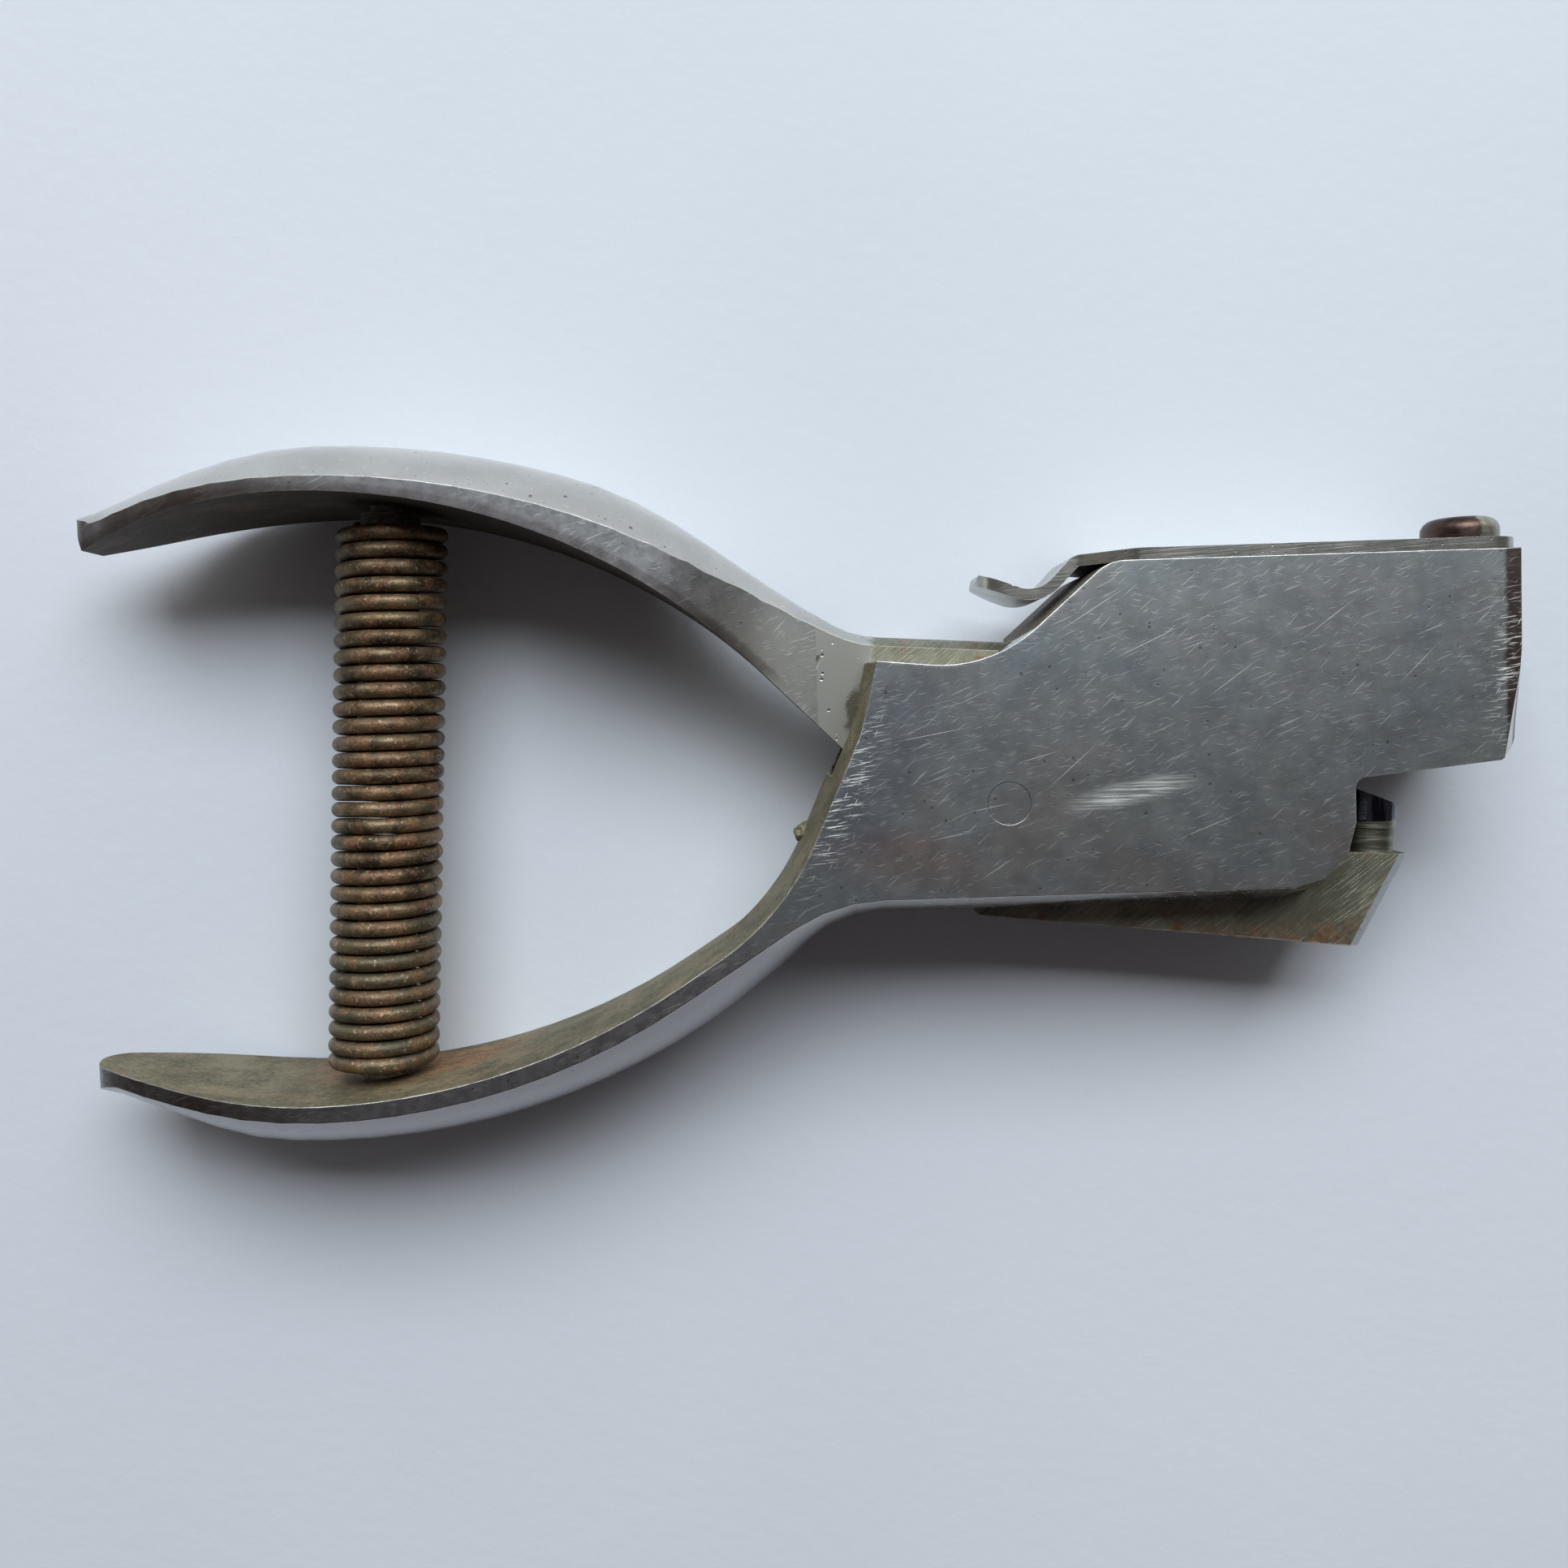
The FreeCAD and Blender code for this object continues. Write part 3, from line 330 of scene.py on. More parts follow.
def make_pit_group():
    inputs = [("Vector", "Vector", None), ("Size", "Float", 2000.0), ("Share", "Float", 0.3)]
    tree, given, out = new_group("pits", inputs, [("Mask", "Float")])
    cells = new_tree_node(tree, "ShaderNodeTexVoronoi")
    plug(tree, cells, Vector=given["Vector"], Scale=given["Size"])
    ragged = noise(tree, given["Vector"], product(tree, given["Size"], 2.5), 2.0)
    distance = total(tree, cells.outputs["Distance"], product(tree, ragged, 0.25))
    chance = plug(tree, new_tree_node(tree, "ShaderNodeSeparateColor"), Color=cells.outputs["Color"])
    reach = remap(tree, chance.outputs["Green"], 0.0, 1.0, 0.2, 0.46)
    hole = remap(tree, distance, reach, product(tree, reach, 0.6))
    chosen = maths(tree, "LESS_THAN", chance.outputs["Red"], given["Share"])
    plug(tree, out, Mask=product(tree, hole, chosen))
    return tree


def make_rust_group():
    inputs = [("Vector", "Vector", None), ("Size", "Float", 120.0), ("Coverage", "Float", 0.4)]
    tree, given, out = new_group("rust", inputs, [("Mask", "Float"), ("Color", "Color")])
    broad = noise(tree, given["Vector"], given["Size"], 7.0, 0.68)
    low = maths(tree, "SUBTRACT", 0.75, product(tree, given["Coverage"], 0.5))
    mask = remap(tree, broad, low, total(tree, low, 0.1))
    speckle = noise(tree, given["Vector"], product(tree, given["Size"], 8.0), 4.0, 0.7)
    colour = mix_colour(tree, remap(tree, speckle, 0.36, 0.64), *RUST_TONES)
    plug(tree, out, Mask=mask, Color=colour)
    return tree


def make_edge_group():
    inputs = [("Vector", "Vector", None), ("Radius", "Float", 0.0003)]
    tree, given, out = new_group("worn and highlit edge", inputs, [("Mask", "Float")])
    rounded = plug(tree, new_tree_node(tree, "ShaderNodeBevel", samples=4), Radius=given["Radius"])
    flat = new_tree_node(tree, "ShaderNodeNewGeometry")
    dot = new_tree_node(tree, "ShaderNodeVectorMath", operation="DOT_PRODUCT")
    tree.links.new(rounded.outputs[0], dot.inputs[0])
    tree.links.new(flat.outputs["Normal"], dot.inputs[1])
    # bright edge mask: rubbed wear and a painted highlight
    edge = remap(tree, dot.outputs["Value"], 0.99, 0.86)
    broken = remap(tree, noise(tree, given["Vector"], 450.0, 4.0, 0.65), 0.38, 0.6, 0.15, 1.0)
    plug(tree, out, Mask=product(tree, edge, broken))
    return tree


grain_group = make_grain_group()
pit_group = make_pit_group()
rust_group = make_rust_group()
edge_group = make_edge_group()


def grain_lines(tree, where, angle, fineness):
    return use_group(
        tree, grain_group, Vector=where, Angle=math.radians(-angle), Fineness=fineness,
    )["Height"]


def pits(tree, where, size, share):
    return use_group(tree, pit_group, Vector=where, Size=size, Share=share)["Mask"]


def worn_and_highlit_edge(tree, where, radius=0.3):
    return use_group(tree, edge_group, Vector=where, Radius=radius * MM)["Mask"]


print("groups:", ", ".join(group.name for group in bpy.data.node_groups))

# %% [markdown]
# ## A metal to start from
#
# Each metal finish starts bare on the Principled shader. Metallic is 1, and
# the colour is what the metal reflects. Roughness decides whether it mirrors
# the room or only glows. A scratch is rougher than the metal round it, so it
# catches the window from the side and looks bright.

# %% Bare metal
def start_finish(name, roughness, metallic=1.0):
    material = bpy.data.materials.new(name)
    material.use_nodes = True
    tree = material.node_tree
    shader = tree.nodes["Principled BSDF"]
    plug(tree, shader, Metallic=metallic, Roughness=roughness)
    where = new_tree_node(tree, "ShaderNodeTexCoord").outputs["Object"]
    return material, tree, shader, where


def bump(tree, shader, height, depth, strength):
    """Shade a height pattern as if it were this many millimetres deep."""
    node = new_tree_node(tree, "ShaderNodeBump")
    plug(tree, node, Height=height, Distance=depth * MM, Strength=strength)
    plug(tree, shader, Normal=node.outputs["Normal"])


print("metal helper ready")

# %% [markdown]
# ## Worn nickel on the flat sides
#
# The flat sides of the head have lost their shine. Their ground is cloudy grey
# with blue, green and brown tints. Over it lie hairlines and nicks that mostly
# rise to the right. The nicks crowd together along the crotch edge and at the
# far end, where the tool was knocked most. One brushed patch is brighter, and
# a red brown stain lies left of the pin and below it. On the narrow sides of the handles the
# same plating is darker, and brown towards the tips.

# %% Flat sides: ground and stains
TOP_Z = 20.0                 # of the side that faces the camera
BRUSHED_PATCH = (11.5, 0.7, TOP_Z)
BRUSHED_SIZE = (8.2, 1.5, 6.0)
NECK = (-19.5, 13.5, 14.5)    # of the lever, where its plating is painted lighter as a painted reflection
NECK_SIZE = (13.0, 7.0, 9.0)
NECK_PLATE_AND_SHEEN = (0.50, 0.51, 0.48)
STAIN = (-10.3, -4.9, TOP_Z)
STAIN_SIZE = (9.5, 3.9, 8.0)
STAIN_COLOUR = (0.42, 0.29, 0.27)
HEAD_GREYS = (0.33, 0.37, 0.395), (0.41, 0.445, 0.455)
HEAD_BLUE = (0.29, 0.35, 0.405)
HEAD_BROWN = (0.385, 0.365, 0.355)
CROTCH_SHADE = (-12.5, 4.0, TOP_Z)
CROTCH_SHADE_SIZE = (6.5, 15.0, 8.0)
CROTCH_SHADE_COLOUR = (0.25, 0.285, 0.35)
RIM_X = (-0.017, -0.030)     # between these the head's finish turns into the rim's
RIM_GREYS = (0.27, 0.28, 0.30), (0.41, 0.42, 0.44)
TIP_X = (-0.058, -0.080)
TIP_BROWN = (0.13, 0.10, 0.085)
# painted shade: the far end's bevel, which is not modelled, is painted dark brown on the flat side
FAR_BEVEL_X = (0.0469, 0.0474)
FAR_BEVEL_SHADE = (0.10, 0.068, 0.06)


def flat_ground(tree, where):
    """Colour of the plating before any scratch, with its stains, painted shade at the crotch and on the
    far bevel, and a painted reflection on the neck.
    """
    parts = axes_of(tree, where)
    broad = noise(tree, where, 75.0, 5.0, 0.62, 0.6)
    fine = noise(tree, placed(tree, where, turn=(0, 0, -0.1), stretch=(0.3, 1, 1)), 1500.0, 4.0, 0.7)
    mottled = total(tree, product(tree, broad, 0.45), product(tree, fine, 0.55))
    grey = mix_colour(tree, remap(tree, mottled, 0.34, 0.66), *HEAD_GREYS)
    blue_noise = noise(tree, placed(tree, where, move=(0.2, 0.5, 0)), 95.0, 4.0, 0.6, 0.8)
    blue = mix_colour(tree, remap(tree, blue_noise, 0.46, 0.68, 0.0, 0.6), grey, HEAD_BLUE)
    brown_noise = noise(tree, placed(tree, where, move=(0.3, 0.1, 0)), 60.0, 4.0, 0.6, 0.5)
    low_part = remap(tree, parts["Y"], 0.008, -0.004, 0.25, 0.75)
    brown_part = product(tree, remap(tree, brown_noise, 0.42, 0.62), low_part)
    brown = mix_colour(tree, brown_part, blue, HEAD_BROWN)
    stain = product(
        tree, spot(tree, where, STAIN, STAIN_SIZE, -8.0, 0.8), remap(
            tree, noise(tree, placed(tree, where, stretch=(0.4, 1.2, 1)), 160.0, 4.0),
            0.35, 0.6, 0.3, 0.75,
        ),
    )
    stained = mix_colour(tree, stain, brown, STAIN_COLOUR)
    crotch = spot(tree, where, CROTCH_SHADE, CROTCH_SHADE_SIZE, -24.0, 0.6)
    shaded = mix_colour(tree, product(tree, crotch, 0.6), stained, CROTCH_SHADE_COLOUR)
    handle = remap(tree, parts["X"], *RIM_X)
    rim_noise = remap(tree, noise(tree, where, 700.0, 5.0, 0.7), 0.35, 0.65)
    rim = mix_colour(tree, rim_noise, *RIM_GREYS)
    tip = product(tree, remap(tree, parts["X"], *TIP_X), 0.9)
    tip_noise = remap(tree, noise(tree, where, 300.0, 4.0), 0.35, 0.65, 0.6, 1.0)
    rim = mix_colour(tree, product(tree, tip, tip_noise), rim, TIP_BROWN)
    joined = mix_colour(tree, handle, shaded, rim)
    # painted reflection: the lever's neck is painted lighter
    neck = spot(tree, where, NECK, NECK_SIZE, -38.0, 0.8)
    bright = mix_colour(tree, neck, joined, NECK_PLATE_AND_SHEEN)
    rag = product(tree, noise(tree, where, 450.0, 4.0, 0.65), 0.0012)
    # painted shade of the far end's bevel
    end = remap(tree, total(tree, parts["X"], rag), *FAR_BEVEL_X)
    return mix_colour(tree, product(tree, end, 0.92), bright, FAR_BEVEL_SHADE)


print("brushed patch at", BRUSHED_PATCH, "mm")

# %% Flat sides: scratches
NAMED_SCRATCHES = (          # start and end of the longest ones, in X and Y
    (-4.9, -0.9, 1.0, 0.2), (2.6, 0.4, 9.3, 6.2), (3.5, 15.0, 12.6, 20.6), (-12.2, 5.8, -2.0, 7.5),
    (-3.5, -7.5, 1.1, -4.6), (0.0, 3.5, 5.5, 5.0), (17.5, 8.5, 24.5, 13.5), (27.0, 14.0, 33.5, 18.8),
    (36.0, 9.5, 41.0, 14.5), (8.5, 12.5, 18.0, 16.8), (-8.0, -3.4, -3.0, -2.4), (14.0, -4.5, 23.0, -1.0),
)
SCRATCH_HALF_WIDTH = 0.045
CROTCH_EDGE = (-15.2, 1.2, TOP_Z)      # where the nicks crowd
CROTCH_EDGE_SIZE = (2.9, 14.0, 30.0)
FAR_END = (49.0, 11.0, TOP_Z)
FAR_END_SIZE = (6.2, 14.0, 30.0)
BRUSHED_ANGLE = 11.0


def long_scratches(tree, where):
    masks = []
    for x0, y0, x1, y1 in NAMED_SCRATCHES:
        half = math.hypot(x1 - x0, y1 - y0) / 2
        angle = math.degrees(math.atan2(y1 - y0, x1 - x0))
        centre = ((x0 + x1) / 2, (y0 + y1) / 2, TOP_Z)
        masks.append(spot(tree, where, centre, (half, SCRATCH_HALF_WIDTH, 5.0), angle, 0.9))
    return most(tree, *masks)


def flat_scratches(tree, where):
    """Every scratch on the flat sides, as one mask."""
    named = product(tree, long_scratches(tree, where), 0.5)
    fine = most(
        tree, hairlines(tree, where, 14, 120.0, 7000.0, 0.66),
        hairlines(tree, where, 35, 150.0, 6000.0, 0.69),
        hairlines(tree, where, 3, 200.0, 8000.0, 0.67),
        hairlines(tree, where, -22, 170.0, 7000.0, 0.71),
    )
    small = most(
        tree, nicks(tree, where, 12, 520.0, 9000.0, 0.4), nicks(tree, where, 32, 450.0, 8000.0, 0.3),
        nicks(tree, where, -14, 560.0, 9500.0, 0.2),
    )
    bold = most(
        tree, nicks(tree, where, 22, 190.0, 6500.0, 0.16),
        nicks(tree, where, 42, 230.0, 7000.0, 0.12),
    )
    knocked = most(
        tree, nicks(tree, where, 4, 420.0, 7500.0, 0.8), nicks(tree, where, 14, 480.0, 8000.0, 0.8),
        nicks(tree, where, 62, 620.0, 6000.0, 0.4), hairlines(tree, where, 8, 260.0, 6500.0, 0.6),
    )
    crotch = spot(tree, where, CROTCH_EDGE, CROTCH_EDGE_SIZE, -23.0, 0.8)
    far_end = spot(tree, where, FAR_END, FAR_END_SIZE, 0.0, 0.7)
    crowd = product(tree, knocked, most(tree, crotch, far_end))
    patch = spot(tree, where, BRUSHED_PATCH, BRUSHED_SIZE, BRUSHED_ANGLE, 0.7)
    along = placed(tree, where, turn=(0, 0, math.radians(-BRUSHED_ANGLE)), stretch=(0.03, 1, 0))
    brushing = remap(tree, noise(tree, along, 5200.0, 3.0, 0.7), 0.42, 0.62, 0.12, 0.62)
    return most(
        tree, named, product(tree, fine, 0.2), product(tree, small, 0.26),
        product(tree, bold, 0.3), product(tree, crowd, 0.8),
        product(tree, patch, brushing),
    )


print("named scratches:", len(NAMED_SCRATCHES))

# %% Flat sides: the finish
PIN_HIDE = (0.0021, 0.003)   # the pin is ground flush, so no edge shows this near to its axis
# painted shade and grime on the upper handle's edge that faces the spring
SHADE_AND_GRIME = (0.055, 0.04, 0.036)
SHADE_AND_GRIME_ROUNDING = 1.6 * MM
STEP_EDGE = (-3.5, 14.3, TOP_Z)        # two edges of the plate get a wider bright edge, worn and painted highlight
STEP_EDGE_SIZE = (10.5, 3.5, 6.0)
SLOPE_EDGE = (7.5, 19.5, TOP_Z)
SLOPE_EDGE_SIZE = (7.5, 3.0, 6.0)
EDGE_RADII = (0.25 * MM, 0.7 * MM)
PIT_BROWN = (0.10, 0.095, 0.085)
SCRATCH_WHITE = (0.93, 0.93, 0.91)
EDGE_WEAR_AND_HIGHLIGHT = (0.9, 0.89, 0.86)
FLAT_ROUGHNESS = 0.36


def shade_and_grime_band(tree, where, parts):
    """Painted shade and grime on the upper handle, along the edge that faces the spring and leans away
    from the light.
    """
    rounded = plug(tree, new_tree_node(tree, "ShaderNodeBevel", samples=4), Radius=SHADE_AND_GRIME_ROUNDING)
    lean = axes_of(tree, rounded.outputs[0])["Y"]
    ragged = noise(tree, placed(tree, where, stretch=(0.5, 1, 1)), 1100.0, 4.0, 0.7)
    depth = total(tree, product(tree, lean, -1.0), product(tree, ragged, 0.22))
    handle = product(
        tree, remap(tree, parts["Y"], 0.010, 0.014),
        remap(tree, parts["X"], -0.017, -0.022),
    )
    return product(tree, remap(tree, depth, 0.15, 0.24), handle, 0.92)


def make_flat_nickel():
    material, tree, shader, where = start_finish("worn_flat_nickel", 0.3)
    ground = flat_ground(tree, where)
    scratches = flat_scratches(tree, where)
    dark = most(
        tree, pits(tree, where, 1500.0, 0.12),
        product(tree, pits(tree, where, 4200.0, 0.4), 0.55),
    )
    spotted = mix_colour(tree, product(tree, dark, 0.6), ground, PIT_BROWN)
    marked = mix_colour(tree, scratches, spotted, SCRATCH_WHITE)
    parts = axes_of(tree, where)
    from_pin = maths(tree, "SQRT", total(
        tree, product(tree, parts["X"], parts["X"]), product(tree, parts["Y"], parts["Y"])))
    polished = most(
        tree, spot(tree, where, STEP_EDGE, STEP_EDGE_SIZE, -6.0, 0.3),
        spot(tree, where, SLOPE_EDGE, SLOPE_EDGE_SIZE, 46.0, 0.3),
    )
    radius = remap(tree, polished, 0.0, 1.0, *EDGE_RADII)
    rubbed_and_highlit = use_group(tree, edge_group, Vector=where, Radius=radius)["Mask"]
    # bright plate edges: rubbed wear and painted highlight
    edge = product(tree, rubbed_and_highlit, remap(tree, from_pin, *PIN_HIDE))
    final = mix_colour(tree, product(tree, edge, 0.9), marked, EDGE_WEAR_AND_HIGHLIGHT)
    # painted shade and grime along the upper handle's edge that faces the spring
    shade_and_grime = shade_and_grime_band(tree, where, parts)
    final = mix_colour(tree, shade_and_grime, final, SHADE_AND_GRIME)
    plug(tree, shader, Base_Color=final)
    cloud_depth = remap(tree, parts["X"], -0.022, -0.014, 0.008, 0.022)
    cloud = remap(tree, noise(tree, where, 300.0, 5.0, 0.65), 0.3, 0.7, -1.0, 1.0)
    cloudy = total(tree, product(tree, cloud, cloud_depth), FLAT_ROUGHNESS)
    rough = total(tree, cloudy, product(tree, scratches, 0.3), product(tree, shade_and_grime, 0.2))
    plug(tree, shader, Roughness=rough)
    grain = grain_lines(tree, where, 14, 5000.0)
    height = total(
        tree, product(tree, grain, 0.3), product(tree, scratches, -0.7),
        product(tree, dark, -0.6),
    )
    bump(tree, shader, height, 0.01, 0.7)
    return material


flat_nickel = make_flat_nickel()
print("finish:", flat_nickel.name)

# %% [markdown]
# ## Polished nickel on the rounded backs
#
# The palm has kept the backs of the handles bright. They mirror the paper round
# them, slightly warm, with faint lengthwise hairlines and a few dark specks. The
# lower handle's back is painted darker towards its bottom, as painted shade for
# the shaded paper it mirrors there. The rounded end of the head is painted dark
# brown, as painted shade on its bevel.

# %% Rounded backs
BACK_GREYS = (0.56, 0.54, 0.50), (0.67, 0.65, 0.61)
# painted shade: the lower handle's back is painted darker below this
UNDER_SHADE_Y = (-0.006, -0.014)             # below this the lower handle's back is darker
UNDER_SHADE_COLOUR = (0.29, 0.27, 0.28)
FAR_END_SHADE_X = (0.0472, 0.0482)
FAR_END_SHADE_BROWN = (0.085, 0.06, 0.05)


def make_bright_nickel():
    material, tree, shader, where = start_finish("bright_nickel", 0.16)
    parts = axes_of(tree, where)
    cloud = noise(tree, where, 90.0, 5.0, 0.6)
    base = mix_colour(tree, remap(tree, cloud, 0.35, 0.65), *BACK_GREYS)
    marks = most(
        tree, hairlines(tree, where, 10, 150.0, 5000.0, 0.68, 3000.0),
        nicks(tree, where, 25, 600.0, 3500.0, 0.3, 2500.0),
        nicks(tree, where, -20, 500.0, 3000.0, 0.25, 2500.0),
    )
    specks = most(tree, pits(tree, where, 1300.0, 0.08), pits(tree, where, 3200.0, 0.1))
    marked = mix_colour(tree, product(tree, marks, 0.3), base, (0.9, 0.89, 0.87))
    speckled = mix_colour(tree, product(tree, specks, 0.75), marked, (0.13, 0.11, 0.09))
    # painted shade: the lower handle's back darkens towards its bottom, where it mirrors shaded paper
    under = remap(tree, parts["Y"], *UNDER_SHADE_Y)
    speckled = mix_colour(tree, product(tree, under, 0.9), speckled, UNDER_SHADE_COLOUR)
    # painted shade: the rounded far end of the head is painted dark brown
    far_end_shade_noise = remap(tree, noise(tree, where, 260.0, 5.0, 0.65), 0.3, 0.62, 0.55, 1.0)
    far_end_shade = product(tree, remap(tree, parts["X"], *FAR_END_SHADE_X), far_end_shade_noise)
    far_end_shaded = mix_colour(tree, far_end_shade, speckled, FAR_END_SHADE_BROWN)
    # bright edges: rubbed wear and painted highlight
    edge = product(tree, worn_and_highlit_edge(tree, where, 0.45), 0.95)
    plug(tree, shader, Base_Color=mix_colour(tree, edge, far_end_shaded, (0.96, 0.95, 0.92)))
    rough = total(
        tree, remap(tree, noise(tree, where, 400.0, 4.0), 0.3, 0.7, 0.11, 0.2),
        product(tree, marks, 0.15), product(tree, far_end_shade, 0.3),
    )
    plug(tree, shader, Roughness=rough)
    height = total(
        tree, product(tree, noise(tree, where, 500.0, 2.0), 0.35), product(tree, specks, -1.0),
        product(tree, marks, -0.4),
    )
    bump(tree, shader, height, 0.02, 0.7)
    return material


bright_nickel = make_bright_nickel()
print("finish:", bright_nickel.name)

# %% [markdown]
# ## Rough forged steel between the handles
#
# The inner faces were never polished. They keep the grainy skin of the forging,
# gone olive grey, with red brown flecks and with orange rust where damp stood
# round the spring's foot. The upper handle's inner face, which faces away from
# the light, is painted nearly black as painted shade. Oxide is no metal, so
# Metallic falls where the rust lies.

# %% Forged skin
SPRING_FOOT = (-60.0, -24.5, 6.0)
SPRING_FOOT_SIZE = (17.0, 6.0, 11.0)
SKIN_OLIVES = (0.115, 0.10, 0.058), (0.25, 0.225, 0.145)
UPPER_SKIN_SHADE = (0.05, 0.037, 0.03)
FOOT_ORANGES = (0.20, 0.075, 0.022), (0.46, 0.20, 0.07)
SKIN_PIT = (0.035, 0.03, 0.024)
SKIN_EDGE_WEAR_AND_HIGHLIGHT = (0.86, 0.85, 0.81)


def make_forged_skin():
    material, tree, shader, where = start_finish("forged_skin", 0.6)
    cloud = noise(tree, where, 210.0, 6.0, 0.68)
    fine = noise(tree, where, 2200.0, 4.0, 0.7)
    mottled = total(tree, product(tree, cloud, 0.6), product(tree, fine, 0.4))
    base = mix_colour(tree, remap(tree, mottled, 0.38, 0.62), *SKIN_OLIVES)
    parts = axes_of(tree, where)
    # painted shade: the upper handle's inner face turns nearly black towards the top
    upper = remap(tree, parts["Y"], 0.012, 0.02, 0.0, 0.8)
    base = mix_colour(tree, upper, base, UPPER_SKIN_SHADE)
    foot = spot(tree, where, SPRING_FOOT, SPRING_FOOT_SIZE, 0.0, 0.8)
    streaks = noise(tree, placed(tree, where, stretch=(0.35, 1, 1)), 420.0, 5.0, 0.68)
    foot_rust = product(tree, foot, remap(tree, streaks, 0.38, 0.52))
    long_ways = placed(tree, where, stretch=(0.5, 1, 1))
    rust = use_group(tree, rust_group, Vector=long_ways, Size=170.0, Coverage=0.42)
    rusty = mix_colour(tree, product(tree, rust["Mask"], 0.3), base, rust["Color"])
    orange = mix_colour(tree, remap(tree, fine, 0.35, 0.65), *FOOT_ORANGES)
    rusty = mix_colour(tree, product(tree, foot_rust, 0.85), rusty, orange)
    holes = most(tree, pits(tree, where, 1500.0, 0.35), pits(tree, where, 3500.0, 0.4))
    pitted = mix_colour(tree, product(tree, holes, 0.75), rusty, SKIN_PIT)
    # bright edges near the tips: rubbed wear and painted highlight
    edge = product(tree, worn_and_highlit_edge(tree, where, 0.4), remap(tree, parts["X"], -0.078, -0.066, 0.2, 0.95))
    final = mix_colour(tree, edge, pitted, SKIN_EDGE_WEAR_AND_HIGHLIGHT)
    plug(tree, shader, Base_Color=final)
    oxide = maths(tree, "SUBTRACT", most(tree, rust["Mask"], foot_rust), edge)
    plug(tree, shader, Metallic=remap(tree, oxide, -0.5, 1.0, 0.7, 0.0))
    lumps = noise(tree, where, 1300.0, 5.0, 0.72)
    height = maths(tree, "SUBTRACT", lumps, product(tree, holes, 0.6))
    bump(tree, shader, height, 0.16, 0.9)
    return material


forged_skin = make_forged_skin()
print("finish:", forged_skin.name)

# %% [markdown]
# ## Filed steel on the blade
#
# The blade and the moving jaw were filed and never plated. The file left fine
# marks that rise to the right, the steel has turned greenish grey, and rust sits
# along its front edge and its lower edge. Where the blade runs into the neck the
# plating begins, with pits and one deep dent.

# %% Filed blade
NECK_DENT = (-17.8, 13.6, 13.2)
NECK_DEPOSIT = (-13.2, 9.5, 13.2)
JAW_FRONT = (37.6, -11.3, 10.0)
JAW_SPOT = (30.5, -8.6, 13.2)
BLADE_GREENS = (0.145, 0.148, 0.108), (0.25, 0.25, 0.195)
FILE_MARK = (0.38, 0.38, 0.31)
FILE_LINE = (0.55, 0.55, 0.47)
BLADE_RUSTS = (0.05, 0.026, 0.015), (0.19, 0.075, 0.03)
BLADE_BOTTOM_Y = (-0.0115, -0.0150)
PLATING_X = (-0.0106, -0.0114)         # left of this the lever is plated
DEPOSIT_BROWN = (0.13, 0.12, 0.07)


